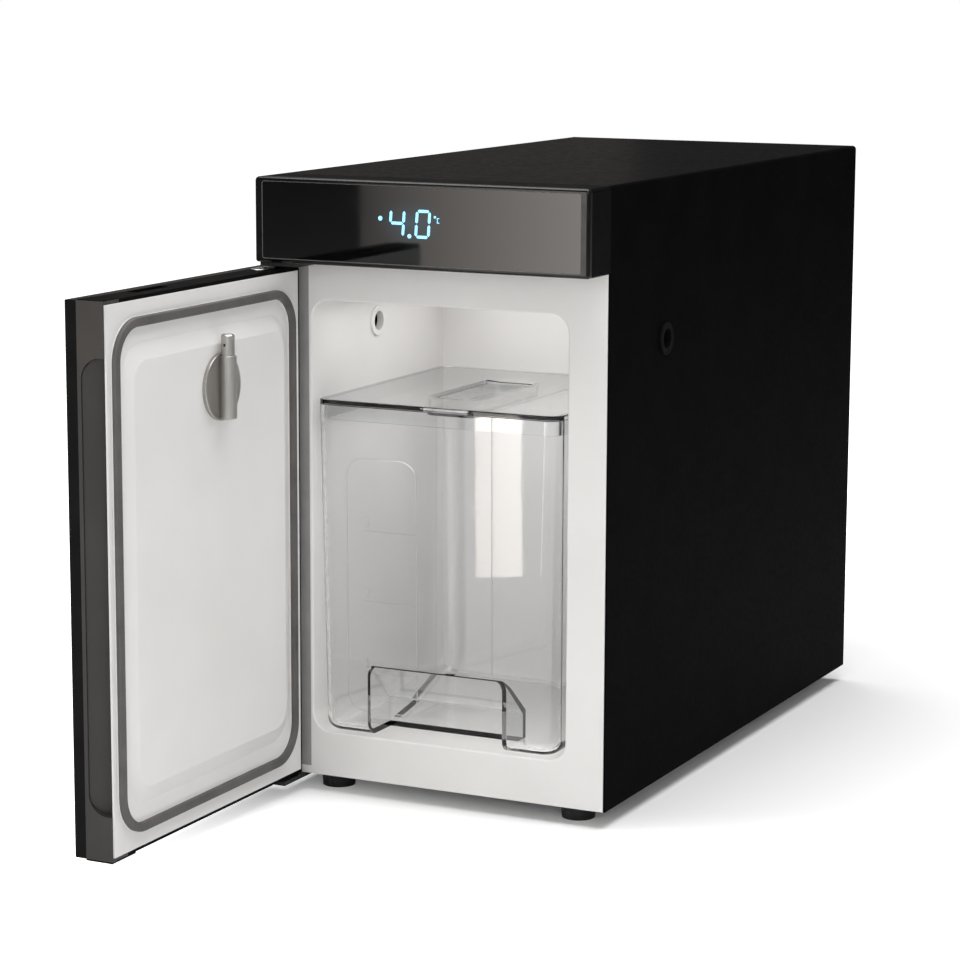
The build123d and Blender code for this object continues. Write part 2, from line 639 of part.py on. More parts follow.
def rear_screws():
    def screw(place, depth):
        x, z = place
        head = rod_y(SCREW_HEAD_DIAMETER / 2, x, (BACK, BACK + SCREW_HEAD_HEIGHT), z)
        head = chamfer(head.faces().sort_by(Axis.Y)[-1].edges(), SCREW_HEAD_CHAMFER)
        return head + rod_y(SCREW_DIAMETER / 2, x, (BACK - depth, BACK), z)
    panel = [screw(place, REAR_SHEET + CASING_SHEET + SCREW_OVERRUN) for place in rear_screw_places()]
    fan = [screw(place, REAR_SHEET + FAN_DEPTH / 2) for place in fan_screw_places()]
    return joined(panel + fan)


def bulkhead_plate():
    plate = fitted_panel(BULKHEAD_Y, BASE_TOP)
    for x, z in (STUB_INLET, STUB_OUTLET):
        plate -= rod_y(EVAPORATOR_TUBE / 2 + STUB_HOLE_FIT, x, grown(BULKHEAD_Y, THROUGH), z)
    return plate


# Feet

def foot(place):
    x, y = place
    body = Pos(x, y, FOOT_HEIGHT / 2) * Cone(FOOT_BOTTOM_DIAMETER / 2, FOOT_TOP_DIAMETER / 2, FOOT_HEIGHT)
    body -= rod_z(SCREW_HEAD_DIAMETER / 2 + SCREW_FIT, x, y, (-THROUGH, FOOT_SCREW_SEAT))
    return body - rod_z(SCREW_DIAMETER / 2 + SCREW_FIT, x, y, (0, FOOT_HEIGHT + THROUGH))


def foot_screws():
    def screw(place):
        x, y = place
        head = rod_z(SCREW_HEAD_DIAMETER / 2, x, y, (FOOT_SCREW_SEAT - SCREW_HEAD_HEIGHT, FOOT_SCREW_SEAT))
        return head + rod_z(SCREW_DIAMETER / 2, x, y, (FOOT_SCREW_SEAT, BASE_TOP + SCREW_OVERRUN))
    return joined(screw(place) for place in FOOT_PLACES.values())


# Liner, insulation and evaporator

def tub_outside(y):
    """The cavity's outside, between two depths."""
    across = grown(OPENING_X, LINER_WALL)
    return prism_y(window(across, grown(OPENING_Z, LINER_WALL), OPENING_RADIUS + LINER_WALL), y)


def hinge_side_strip():
    """The seal strip let into the front frame beside the hinges."""
    x = (INSIDE_X[0] + STRIP_FROM_SIDE, OPENING_X[0] - STRIP_FROM_OPENING)
    z = (BOTTOM + STRIP_FROM_BOTTOM, HEADER_BOTTOM - STRIP_FROM_TOP)
    return block(x, (FRONT, FRONT + STRIP_THICKNESS), z)


def inner_liner():
    """The front frame with the cavity's ceiling and floor."""
    y = (FRONT, CAVITY_BACK)
    frame = block(INSIDE_X, (FRONT, FRONT + FRAME_THICKNESS), (BOTTOM, HEADER_BOTTOM))
    liner = frame + tub_outside(y) - prism_y(window(OPENING_X, OPENING_Z, OPENING_RADIUS), y)
    mouth = liner.faces().sort_by(Axis.Y)[0].inner_wires()[0].edges()
    liner = fillet(mouth, OPENING_EDGE)
    return liner - block(INSIDE_X, SIDE_PANEL_Y, SIDE_PANEL_Z) - hinge_side_strip()


def liner_side_panel(side):
    """A side wall of the cavity. The side is -1 on the left and 1 on the right."""
    wall = hose_span(side)[0]
    x = sorted((wall, wall + side * LINER_WALL))
    panel = block(x, SIDE_PANEL_Y, SIDE_PANEL_Z)
    return panel - rod_x(HOSE_TUBE_RADIUS + HOSE_FIT, grown(x, THROUGH), HOSE_Y, HOSE_Z)


def liner_back_panel():
    return tub_outside((CAVITY_BACK, TUB_BACK))


def evaporator_plate():
    outline = window(EVAPORATOR_X, EVAPORATOR_Z, OPENING_RADIUS)
    plate = prism_y(outline, (TUB_BACK, EVAPORATOR_BACK))
    run_x = grown(EVAPORATOR_X, -EVAPORATOR_SIDE_MARGIN)
    low, high = grown(EVAPORATOR_Z, -EVAPORATOR_SIDE_MARGIN)
    step = (high - low) / (EVAPORATOR_RUNS - 1)
    channel_y = TUB_BACK + EVAPORATOR_TUBE / 2 + EVAPORATOR_TUBE_LIFT
    channel = [(run_x[(row + side) % 2], channel_y, low + row * step)
               for row in range(EVAPORATOR_RUNS) for side in (0, 1)]
    plate += tube(channel, EVAPORATOR_TUBE)
    for x, z in (STUB_INLET, STUB_OUTLET):
        plate += rod_y(EVAPORATOR_TUBE / 2, x, (TUB_BACK, STUB_END), z)
    return plate


def temperature_probe():
    x = OPENING_X[1] + LINER_WALL + PROBE_DIAMETER / 2
    y = (FRONT + PROBE_FROM_FRONT, FRONT + PROBE_FROM_FRONT + PROBE_LENGTH)
    return rod_y(PROBE_DIAMETER / 2, x, y, sum(OPENING_Z) / 2)


def foam_insulation():
    foam = fitted_panel((FRONT + FRAME_THICKNESS, BULKHEAD_Y[0]), BASE_TOP)
    foam -= tub_outside((FRONT, TUB_BACK))
    foam -= block(INSIDE_X, (FRONT, FRONT + HEADER_PLUG_DEPTH), (HEADER_BOTTOM, CEILING))
    foam -= evaporator_plate()
    foam -= temperature_probe()
    for x, z in (STUB_INLET, STUB_OUTLET):
        foam -= rod_y(EVAPORATOR_TUBE / 2 + STUB_HOLE_FIT, x, (EVAPORATOR_BACK, STUB_END), z)
    foam -= rod_x(HOSE_TUBE_RADIUS + HOSE_FIT, INSIDE_X, HOSE_Y, HOSE_Z)
    pocket = (BASE_TOP, BASE_TOP + HINGE_SCREW_LENGTH + SCREW_OVERRUN)
    for x, y in [*FOOT_PLACES.values(), *lower_hinge_screw_places()]:
        foam -= rod_z(SCREW_DIAMETER, x, y, pocket)
    return foam


# Hose ports

def hose_span(side):
    """Where a port starts at the cavity wall, where its bush ends in the wall, and where it ends outside."""
    wall = OPENING_X[0] if side < 0 else OPENING_X[1]
    return wall, wall + side * HOSE_SPIGOT, side * HOSE_END


def hose_piece(diameter, flange, sleeve, rim_at_end):
    """A flange with one rounded rim on a sleeve, with the port's bore through both."""
    piece = rod_x(diameter / 2, flange, HOSE_Y, HOSE_Z)
    rim = piece.faces().filter_by(Axis.X).sort_by(Axis.X)[-1 if rim_at_end else 0]
    piece = fillet(rim.edges(), HOSE_ROUNDING) + rod_x(HOSE_TUBE_RADIUS, sleeve, HOSE_Y, HOSE_Z)
    return piece - rod_x(HOSE_BORE / 2, grown((-HOSE_END, HOSE_END), THROUGH), HOSE_Y, HOSE_Z)


def hose_bush(side):
    """A port's white bush in the cavity wall. The side is -1 on the left and 1 on the right."""
    wall, split, _ = hose_span(side)
    flange = sorted((wall, wall - side * HOSE_FLANGE))
    return hose_piece(HOSE_FLANGE_DIAMETER, flange, sorted((wall, split)), side < 0)


def hose_ring(side):
    """A port's black outer ring, whose sleeve reaches in to the bush."""
    _, split, end = hose_span(side)
    flange = sorted((side * HALF_WIDTH, end))
    return hose_piece(HOSE_RING_DIAMETER, flange, sorted((split, side * HALF_WIDTH)), side > 0)


# Header

def header_outline():
    outline = Pos(0, HEADER_BOTTOM + HEADER_HEIGHT / 2) * Rectangle(CABINET_WIDTH, HEADER_HEIGHT)
    outline = fillet(outline.vertices().group_by(Axis.Y)[-1], CASING_BEND)
    return fillet(outline.vertices().group_by(Axis.Y)[0], HEADER_LOWER_CORNER)


def header_housing():
    housing = prism_y(header_outline(), (BEZEL_BACK, FRONT))
    housing += fitted_panel((FRONT, FRONT + HEADER_PLUG_DEPTH), HEADER_BOTTOM)
    bay = block(grown(GLASS_X, -GLASS_LEDGE), (BEZEL_BACK, BAY_FLOOR), grown(GLASS_Z, -GLASS_LEDGE))
    housing -= bay
    for x, y in upper_hinge_screw_places():
        hole = (HEADER_BOTTOM, HEADER_BOTTOM + HINGE_SCREW_LENGTH)
        housing -= rod_z(HINGE_SCREW_DIAMETER / 2 + SCREW_FIT, x, y, hole)
    return housing


def header_bezel():
    bezel = prism_y(header_outline(), (HEADER_FRONT, BEZEL_BACK))
    bezel = fillet(bezel.faces().sort_by(Axis.Y)[0].edges(), BEZEL_ROUNDING)
    hole = window(grown(GLASS_X, GLASS_FIT), grown(GLASS_Z, GLASS_FIT), GLASS_CORNER + GLASS_FIT)
    return bezel - prism_y(hole, grown((HEADER_FRONT, BEZEL_BACK), THROUGH))


def header_glass():
    glass = prism_y(window(GLASS_X, GLASS_Z, GLASS_CORNER), (HEADER_FRONT + GLASS_RECESS, BEZEL_BACK))
    return chamfer(glass.faces().sort_by(Axis.Y)[0].edges(), GLASS_RECESS)


def display_module():
    back = BAY_FLOOR - DISPLAY_POST_HEIGHT
    front = back - DISPLAY_BOARD_THICKNESS
    board_x = around(0, DISPLAY_BOARD_WIDTH)
    board_z = grown(GLASS_Z, -GLASS_LEDGE - DISPLAY_BOARD_MARGIN)
    module = block(board_x, (front, back), board_z)
    module += block(around(0, DISPLAY_BLOCK_WIDTH), (BEZEL_BACK + DISPLAY_BLOCK_GAP, front),
                    grown(board_z, -DISPLAY_BLOCK_MARGIN))
    for x in grown(board_x, -DISPLAY_POST_INSET):
        for z in grown(board_z, -DISPLAY_POST_INSET):
            module += rod_y(DISPLAY_POST_DIAMETER / 2, x, (back, BAY_FLOOR), z)
    return module


# Hinge

def sunk_screw_holes(plate, places, z):
    """Cuts a through hole, and a seat for a flush head from below, at each place."""
    seat = (z[0] - THROUGH, z[0] + HINGE_SCREW_HEAD_HEIGHT)
    for x, y in places:
        plate -= rod_z(HINGE_SCREW_DIAMETER / 2 + SCREW_FIT, x, y, grown(z, THROUGH))
        plate -= rod_z(HINGE_SCREW_HEAD_DIAMETER / 2 + SCREW_FIT, x, y, seat)
    return plate


def upper_hinge_bracket():
    z = (HEADER_BOTTOM - HINGE_PLATE, HEADER_BOTTOM)
    y = (FRONT - HINGE_PLATE_REACH, FRONT - PANEL_FIT)
    plate = sunk_screw_holes(block(UPPER_PLATE_X, y, z), upper_hinge_screw_places(), z)
    pin = (DOOR_Z[1] - BUSH_DEPTH + PIN_END_GAP, z[1])
    return plate + rod_z(PIN_DIAMETER / 2, HINGE_X, HINGE_Y, pin)


def lower_hinge_bracket():
    z = (BOTTOM - HINGE_PLATE, BOTTOM)
    y = (FRONT - HINGE_PLATE_REACH, FRONT + LOWER_PLATE_REAR)
    plate = block(around(HINGE_X, LOWER_PLATE_WIDTH), y, z)
    plate = sunk_screw_holes(plate, lower_hinge_screw_places(), z)
    pin = (z[0], DOOR_Z[0] + BUSH_DEPTH - PIN_END_GAP)
    return plate + rod_z(PIN_DIAMETER / 2, HINGE_X, HINGE_Y, pin)


def hinge_screws():
    def screw(place, seat):
        x, y = place
        head = rod_z(HINGE_SCREW_HEAD_DIAMETER / 2, x, y, (seat, seat + HINGE_SCREW_HEAD_HEIGHT))
        return head + rod_z(HINGE_SCREW_DIAMETER / 2, x, y, (seat, seat + HINGE_SCREW_LENGTH))
    upper = [screw(place, HEADER_BOTTOM - HINGE_PLATE) for place in upper_hinge_screw_places()]
    lower = [screw(place, BOTTOM - HINGE_PLATE) for place in lower_hinge_screw_places()]
    return joined(upper + lower)


def hinge_bush(end, inward):
    """A flanged bush in a door end. Inward is the way from that end into the door."""
    sleeve = sorted((end, end + inward * BUSH_DEPTH))
    flange = sorted((end, end - inward * BUSH_FLANGE))
    bush = rod_z(BUSH_RADIUS, HINGE_X, HINGE_Y, sleeve)
    bush += rod_z(BUSH_FLANGE_DIAMETER / 2, HINGE_X, HINGE_Y, flange)
    bore = grown(sorted((end - inward * BUSH_FLANGE, end + inward * BUSH_DEPTH)), THROUGH)
    return bush - rod_z(PIN_DIAMETER / 2 + PIN_FIT, HINGE_X, HINGE_Y, bore)


# Door, drawn closed

def swung(piece):
    """Turns a piece of the closed door to where the open door stands."""
    return Pos(HINGE_X, HINGE_Y, 0) * Rot(0, 0, -DOOR_REST_ANGLE) * Pos(-HINGE_X, -HINGE_Y, 0) * piece


def door_outer_panel():
    panel = block(DOOR_X, (DOOR_OUTER, CORE_Y[0]), DOOR_Z)
    return fillet(panel.faces().sort_by(Axis.Y)[0].edges(), DOOR_SKIN_ROUNDING)


def bush_seat(end, inward):
    seat = sorted((end, end + inward * BUSH_DEPTH))
    return rod_z(BUSH_RADIUS + BUSH_FIT, HINGE_X, HINGE_Y, seat)


def door_top_cap():
    cap = block(CAP_X, CORE_Y, (CORE_Z[1], DOOR_Z[1])) - bush_seat(DOOR_Z[1], -1)
    slot_x = (DOOR_X[1] - CAP_SLOT_FROM_EDGE - CAP_SLOT_LENGTH, DOOR_X[1] - CAP_SLOT_FROM_EDGE)
    slot = window(slot_x, around(DOOR_OUTER + CAP_SLOT_FROM_FACE, CAP_SLOT_WIDTH), CAP_SLOT_RADIUS)
    return cap - prism_z(slot, (DOOR_Z[1] - CAP_SLOT_DEPTH, DOOR_Z[1]))


def door_bottom_cap():
    cap = block(CAP_X, CORE_Y, (DOOR_Z[0], CORE_Z[0])) - bush_seat(DOOR_Z[0], 1)
    pad_x = (DOOR_X[1] - DOOR_PAD_LENGTH, DOOR_X[1])
    return cap + block(pad_x, CORE_Y, (DOOR_Z[0] - DOOR_PAD_HEIGHT, DOOR_Z[0]))


def door_hinge_profile():
    return block((DOOR_X[0], DOOR_X[0] + HINGE_BAR_WIDTH), CORE_Y, CORE_Z)


def grip_recess():
    """The finger recess in the free edge, whose floor slopes down towards the door's inner face."""
    y = (DOOR_OUTER + GRIP_WALL, CORE_Y[1])
    z = (DOOR_Z[0] + GRIP_FROM_BOTTOM, DOOR_Z[1] - GRIP_FROM_TOP)
    outline = Pos(sum(y) / 2, sum(z) / 2) * Rectangle(y[1] - y[0], z[1] - z[0])
    outline = fillet(outline.vertices().group_by(Axis.X)[0], min(GRIP_RADIUS, y[1] - y[0]))
    edge = DOOR_X[1]
    slope = Polygon((edge, y[1]), (edge - GRIP_RECESS_DEPTH, y[1]),
                    (edge - GRIP_EDGE_DEPTH, y[0]), (edge, y[0]))
    return prism_x(outline, (edge - GRIP_RECESS_DEPTH, edge)) & prism_z(slope, z)


def door_grip_profile():
    return block((CAP_X[1], DOOR_X[1]), CORE_Y, DOOR_Z) - grip_recess()


def door_foam():
    return block((DOOR_X[0] + HINGE_BAR_WIDTH, CAP_X[1]), CORE_Y, CORE_Z)


def gasket_ring(shoulder):
    """The gasket's outline, wider by the shoulder on each side."""
    inset = -GASKET_WIDTH - shoulder
    outer = window(grown(GASKET_X, shoulder), grown(GASKET_Z, shoulder), GASKET_RADIUS + shoulder)
    return outer - window(grown(GASKET_X, inset), grown(GASKET_Z, inset), GASKET_RADIUS + inset)


def door_inner_liner():
    sheet_z = (DOOR_Z[0] + DOOR_LINER_BOTTOM_INSET, DOOR_Z[1] - DOOR_LINER_TOP_INSET)
    sheet_x = (DOOR_X[0] + DOOR_LINER_HINGE_INSET, DOOR_X[1] - DOOR_LINER_FREE_INSET)
    sheet = block(sheet_x, (CORE_Y[1], DOOR_INNER), sheet_z)
    panel_z = (DOOR_Z[0] + RAISED_PANEL_BOTTOM_MARGIN, DOOR_Z[1] - RAISED_PANEL_TOP_MARGIN)
    panel_x = (DOOR_X[0] + RAISED_PANEL_HINGE_MARGIN, DOOR_X[1] - RAISED_PANEL_FREE_MARGIN)
    outline = window(panel_x, panel_z, RAISED_PANEL_RADIUS)
    panel = prism_y(outline, (DOOR_INNER, RAISED_FACE))
    face = panel.faces().sort_by(Axis.Y)[-1]
    drop = RAISED_FACE - DOOR_INNER - RAISED_PANEL_FOOT
    panel = chamfer(face.edges(), RAISED_PANEL_SLOPE, drop, reference=face)
    panel = fillet(panel.faces().sort_by(Axis.Y)[-1].edges(), RAISED_PANEL_ROUNDING)
    bead = prism_y(gasket_ring(BEAD_SHOULDER), (DOOR_INNER, BEAD_FACE))
    bead = fillet(bead.faces().sort_by(Axis.Y)[-1].edges(), BEAD_SHOULDER)
    return sheet + panel + bead


def door_gasket():
    gasket = prism_y(gasket_ring(0), (BEAD_FACE, BEAD_FACE + GASKET_HEIGHT))
    return fillet(gasket.faces().sort_by(Axis.Y)[-1].edges(), GASKET_ROUNDING)


def nozzle_holder():
    x = HOLDER_SIDE_SHIFT
    disc_y = (RAISED_FACE, RAISED_FACE + HOLDER_DISC_THICKNESS)
    disc = rod_y(HOLDER_DISC_DIAMETER / 2, x, disc_y, sum(HOLDER_Z) / 2)
    disc = fillet(disc.faces().sort_by(Axis.Y)[-1].edges(), HOLDER_ROUNDING)
    boss = rod_z(HOLDER_BOSS_DIAMETER / 2, x, HOLDER_AXIS_Y, BOSS_Z)
    boss = fillet(boss.edges().filter_by(GeomType.CIRCLE), HOLDER_BOSS_ROUNDING)
    boss -= block(around(x, HOLDER_DISC_DIAMETER), (RAISED_FACE - HOLDER_BOSS_DIAMETER, RAISED_FACE),
                  grown(BOSS_Z, THROUGH))
    socket = (BOSS_Z[1] - HOLDER_SOCKET_DEPTH, BOSS_Z[1] + NOZZLE_STAND)
    return disc + boss - rod_z(NOZZLE_DIAMETER / 2 + NOZZLE_FIT, x, HOLDER_AXIS_Y, socket)


def milk_nozzle():
    x = HOLDER_SIDE_SHIFT
    z = (BOSS_Z[1] - HOLDER_SOCKET_DEPTH + NOZZLE_SEAT_GAP, BOSS_Z[1] + NOZZLE_STAND)
    pin = rod_z(NOZZLE_DIAMETER / 2, x, HOLDER_AXIS_Y, z)
    pin = chamfer(pin.edges().filter_by(GeomType.CIRCLE), NOZZLE_CHAMFER)
    pin -= rod_z(NOZZLE_BORE / 2, x, HOLDER_AXIS_Y, grown(z, THROUGH))
    hole_x = (x, x + NOZZLE_DIAMETER)
    return pin - rod_x(NOZZLE_AIR_HOLE / 2, hole_x, HOLDER_AXIS_Y, z[1] - NOZZLE_AIR_HOLE_DOWN)


# Milk container and lid

def container_form(inset, z, bottom_rounding):
    """The container's tapered form, moved inwards by the inset, between two heights."""
    def section(height, side_draft, end_draft, radius):
        width = CONTAINER_WIDTH - 2 * (side_draft + inset)
        depth = CONTAINER_DEPTH - 2 * (end_draft + inset)
        return Pos(CONTAINER_X, CONTAINER_Y, height) * RectangleRounded(width, depth, radius - inset)
    bottom = section(z[0], CONTAINER_SIDE_DRAFT, CONTAINER_END_DRAFT, CONTAINER_BOTTOM_RADIUS)
    top = section(z[1], 0, 0, CONTAINER_TOP_RADIUS)
    form = loft([bottom, top], ruled=True)
    return fillet(form.faces().sort_by(Axis.Z)[0].edges(), bottom_rounding)


def pocket_form(wall):
    """The hand pocket under the front wall, made larger by the wall."""
    front, floor = LID_Y[0], CONTAINER_Z[0]
    across = around(CONTAINER_X, POCKET_WIDTH + 2 * wall)
    high = (floor - POCKET_FRONT_HEIGHT, floor + POCKET_FRONT_HEIGHT + wall)
    depth = CONTAINER_END_DRAFT + POCKET_DEPTH + wall
    slope = Polygon((front, floor - POCKET_FRONT_HEIGHT), (front + depth, floor - POCKET_FRONT_HEIGHT),
                    (front + depth, floor + POCKET_BACK_HEIGHT + wall),
                    (front, floor + POCKET_FRONT_HEIGHT + wall))
    arch_form = prism_y(window(across, high, POCKET_RADIUS + wall), (front, front + depth))
    return arch_form & prism_x(slope, across)


def milk_container():
    outside = container_form(0, CONTAINER_Z, CONTAINER_BOTTOM_ROUNDING)
    inside = container_form(CONTAINER_WALL, (CONTAINER_Z[0] + CONTAINER_FLOOR, CONTAINER_Z[1]),
                            CONTAINER_BOTTOM_ROUNDING - CONTAINER_WALL)
    inside -= pocket_form(CONTAINER_WALL)
    return outside - inside - pocket_form(0) - drain_trough()


def drain_trough():
    """A shallow groove in the floor, from behind the pocket to the back left corner."""
    start = (CONTAINER_X - POCKET_WIDTH / 2, LID_Y[0] + POCKET_DEPTH + TROUGH_INSET)
    end = (CONTAINER_X - CONTAINER_WIDTH / 2 + TROUGH_INSET, LID_Y[1] - TROUGH_INSET)
    across, along = end[0] - start[0], end[1] - start[1]
    floor = CONTAINER_Z[0] + CONTAINER_FLOOR
    middle = Pos((start[0] + end[0]) / 2, (start[1] + end[1]) / 2, floor + TROUGH_RADIUS - TROUGH_DEPTH)
    return middle * Rot(0, 0, degrees(atan2(-across, along))) * Rot(90, 0, 0) * Cylinder(
        TROUGH_RADIUS, hypot(across, along))


def lid_outline(inset):
    """The container's rim, moved inwards by the inset."""
    return window(grown(LID_X, -inset), grown(LID_Y, -inset), CONTAINER_TOP_RADIUS - inset)


def container_lid():
    underside = LID_TOP - LID_PLATE
    lid = prism_z(lid_outline(0), (underside, LID_TOP))
    lid = fillet(lid.faces().sort_by(Axis.Z)[-1].edges(), LID_ROUNDING)
    lip_inset = CONTAINER_WALL + LID_LIP_FIT
    lip = lid_outline(lip_inset) - lid_outline(lip_inset + LID_LIP_WALL)
    lid += prism_z(lip, (underside - LID_LIP_DEPTH, underside))
    recess_floor = LID_TOP - LID_RECESS_DEPTH
    tray = window(grown(LID_RECESS_X, LID_RECESS_WALL), grown(LID_RECESS_Y, LID_RECESS_WALL),
                  LID_RECESS_RADIUS + LID_RECESS_WALL)
    lid += prism_z(tray, (recess_floor - LID_RECESS_WALL, underside))
    lid -= prism_z(window(LID_RECESS_X, LID_RECESS_Y, LID_RECESS_RADIUS), (recess_floor, LID_TOP))
    hole_z = (recess_floor - LID_RECESS_WALL - THROUGH, LID_TOP)
    hole_y = LID_RECESS_Y[1] - LID_HOSE_FROM_END
    return lid - rod_z(LID_HOSE_HOLE / 2, sum(LID_RECESS_X) / 2, hole_y, hole_z)


# Cooling system

def compressor():
    can = rod_z(COMPRESSOR_DIAMETER / 2, COMPRESSOR_X, COMPRESSOR_Y, (COMPRESSOR_BOTTOM, COMPRESSOR_TOP))
    can = fillet(can.faces().sort_by(Axis.Z)[-1].edges(), COMPRESSOR_TOP_ROUNDING)
    can = fillet(can.faces().sort_by(Axis.Z)[0].edges(), COMPRESSOR_BOTTOM_ROUNDING)
    plate = window(around(COMPRESSOR_X, COMPRESSOR_PLATE_WIDTH),
                   around(COMPRESSOR_Y, COMPRESSOR_PLATE_DEPTH), GROMMET_INSET)
    can += prism_z(plate, (GROMMET_TOP, COMPRESSOR_BOTTOM))
    stub = (COMPRESSOR_TOP - COMPRESSOR_STUB_HEIGHT, STUB_TOP)
    can += rod_z(DISCHARGE_TUBE / 2, *DISCHARGE_PLACE, stub)
    return can + rod_z(SUCTION_TUBE / 2, *SUCTION_PLACE, stub)


def compressor_grommets():
    x = around(COMPRESSOR_X, COMPRESSOR_PLATE_WIDTH - 2 * GROMMET_INSET)
    y = around(COMPRESSOR_Y, COMPRESSOR_PLATE_DEPTH - 2 * GROMMET_INSET)
    return joined(rod_z(GROMMET_DIAMETER / 2, a, b, (BASE_TOP, GROMMET_TOP)) for a in x for b in y)


def condenser():
    ends = [(CONDENSER_X[0], CONDENSER_X[0] + CONDENSER_END_PLATE),
            (CONDENSER_X[1] - CONDENSER_END_PLATE, CONDENSER_X[1])]
    coil = condenser_tube()
    for x in ends:
        coil += block(x, CONDENSER_Y, CONDENSER_Z)
    count = int(FAN_SIZE / CONDENSER_FIN_PITCH) - 1
    for fin in range(count):
        x = FAN_X + (fin - (count - 1) / 2) * CONDENSER_FIN_PITCH
        coil += block(around(x, CONDENSER_FIN), grown(CONDENSER_Y, -CONDENSER_FIN_INSET),
                      grown(CONDENSER_Z, -CONDENSER_FIN_INSET))
    return coil


def condenser_tube():
    """One tube to and fro through the fins, with both tails brought forward on the right."""
    y = sum(CONDENSER_Y) / 2
    turn_x = (TAIL_X, CONDENSER_X[0] - CONDENSER_TURN)
    points = [(TAIL_X, TAIL_Y, ROW_Z[0])]
    for row, z in enumerate(ROW_Z):
        points += [(turn_x[row % 2], y, z), (turn_x[(row + 1) % 2], y, z)]
    points.append((points[-1][0], TAIL_Y, ROW_Z[-1]))
    return tube(points, CONDENSER_TUBE)


def discharge_line():
    x, y = DISCHARGE_PLACE
    z = ROW_Z[0]
    return tube([(x, y, STUB_TOP), (x, y, z), (TAIL_X, y, z), (TAIL_X, TAIL_Y, z)], DISCHARGE_TUBE)


def filter_drier():
    z = ROW_Z[-1]
    body_y = (TAIL_Y - DRIER_NECK - DRIER_LENGTH, TAIL_Y - DRIER_NECK)
    drier = rod_y(DRIER_DIAMETER / 2, TAIL_X, body_y, z)
    drier = fillet(drier.edges().filter_by(GeomType.CIRCLE), DRIER_ROUNDING)
    drier += rod_y(CONDENSER_TUBE / 2, TAIL_X, (body_y[1] - DRIER_NECK, TAIL_Y), z)
    return drier + rod_y(CAPILLARY_TUBE / 2, TAIL_X, around(body_y[0], 2 * DRIER_NECK), z)


def capillary_tube():
    start_y = TAIL_Y - 2 * DRIER_NECK - DRIER_LENGTH
    bend_y = (STUB_END + start_y) / 2
    x, z = STUB_INLET
    low = ROW_Z[-1]
    points = [(TAIL_X, start_y, low), (TAIL_X, bend_y, low), (TAIL_X, bend_y, z)]
    points += [(x, bend_y, z), (x, STUB_END, z)]
    return tube(points, CAPILLARY_TUBE)


def suction_line():
    x, z = STUB_OUTLET
    end_x, end_y = SUCTION_PLACE
    points = [(x, STUB_END, z), (x, end_y, z), (end_x, end_y, z), (end_x, end_y, STUB_TOP)]
    return tube(points, SUCTION_TUBE)


# Fan

def fan_frame():
    square = window(around(FAN_X, FAN_SIZE), around(FAN_Z, FAN_SIZE), FAN_CORNER)
    frame = prism_y(square, FAN_Y) - rod_y(FAN_HOLE_RADIUS, FAN_X, grown(FAN_Y, THROUGH), FAN_Z)
    plate_y = (FAN_Y[1] - FAN_HUB_PLATE, FAN_Y[1])
    frame += rod_y(FAN_HUB_DIAMETER / 2, FAN_X, plate_y, FAN_Z)
    strut_length = 2 * FAN_HOLE_RADIUS + FAN_RIM
    for width, height in ((strut_length, FAN_STRUT_WIDTH), (FAN_STRUT_WIDTH, strut_length)):
        frame += block(around(FAN_X, width), plate_y, around(FAN_Z, height))
    frame += rod_y(FAN_SHAFT_DIAMETER / 2, FAN_X, (plate_y[0] - FAN_SHAFT_LENGTH, plate_y[1]), FAN_Z)
    for x, z in fan_screw_places():
        frame -= rod_y(SCREW_DIAMETER / 2 + SCREW_FIT, x, grown(FAN_Y, THROUGH), z)
    return frame


def fan_rotor():
    hub_y = (FAN_Y[0] + FAN_FRONT_GAP, FAN_Y[1] - FAN_HUB_PLATE - FAN_HUB_GAP)
    rotor = rod_y(FAN_HUB_DIAMETER / 2, FAN_X, hub_y, FAN_Z)
    blade = Box(FAN_BLADE_TIP - FAN_BLADE_ROOT, FAN_BLADE_THICKNESS, FAN_BLADE_CHORD)
    blade = Pos((FAN_BLADE_TIP + FAN_BLADE_ROOT) / 2, 0, 0) * Rot(FAN_BLADE_PITCH, 0, 0) * blade
    for number in range(FAN_BLADES):
        turn = Rot(0, number * 360 / FAN_BLADES, 0)
        rotor += Pos(FAN_X, sum(hub_y) / 2, FAN_Z) * turn * blade
    bore = (hub_y[1] - FAN_SHAFT_LENGTH, hub_y[1] + THROUGH)
    return rotor - rod_y(FAN_SHAFT_DIAMETER / 2 + FAN_SHAFT_FIT, FAN_X, bore, FAN_Z)


# Electrics

def control_box():
    box = block(CONTROL_X, CONTROL_Y, CONTROL_Z)
    return box - block(grown(CONTROL_X, -CONTROL_WALL), (CONTROL_Y[0], CONTROL_Y[1] - CONTROL_WALL),
                       grown(CONTROL_Z, -CONTROL_WALL))


def control_board():
    board_x = grown(CONTROL_X, -CONTROL_BOARD_INSET)
    board_z = grown(CONTROL_Z, -CONTROL_BOARD_INSET)
    top = CONTROL_Y[1] - CONTROL_WALL
    board = block(board_x, (top - CONTROL_POST - CONTROL_BOARD, top - CONTROL_POST), board_z)
    for x in grown(board_x, -CONTROL_POST_DIAMETER):
        for z in grown(board_z, -CONTROL_POST_DIAMETER):
            board += rod_y(CONTROL_POST_DIAMETER / 2, x, (top - CONTROL_POST, top), z)
    return board


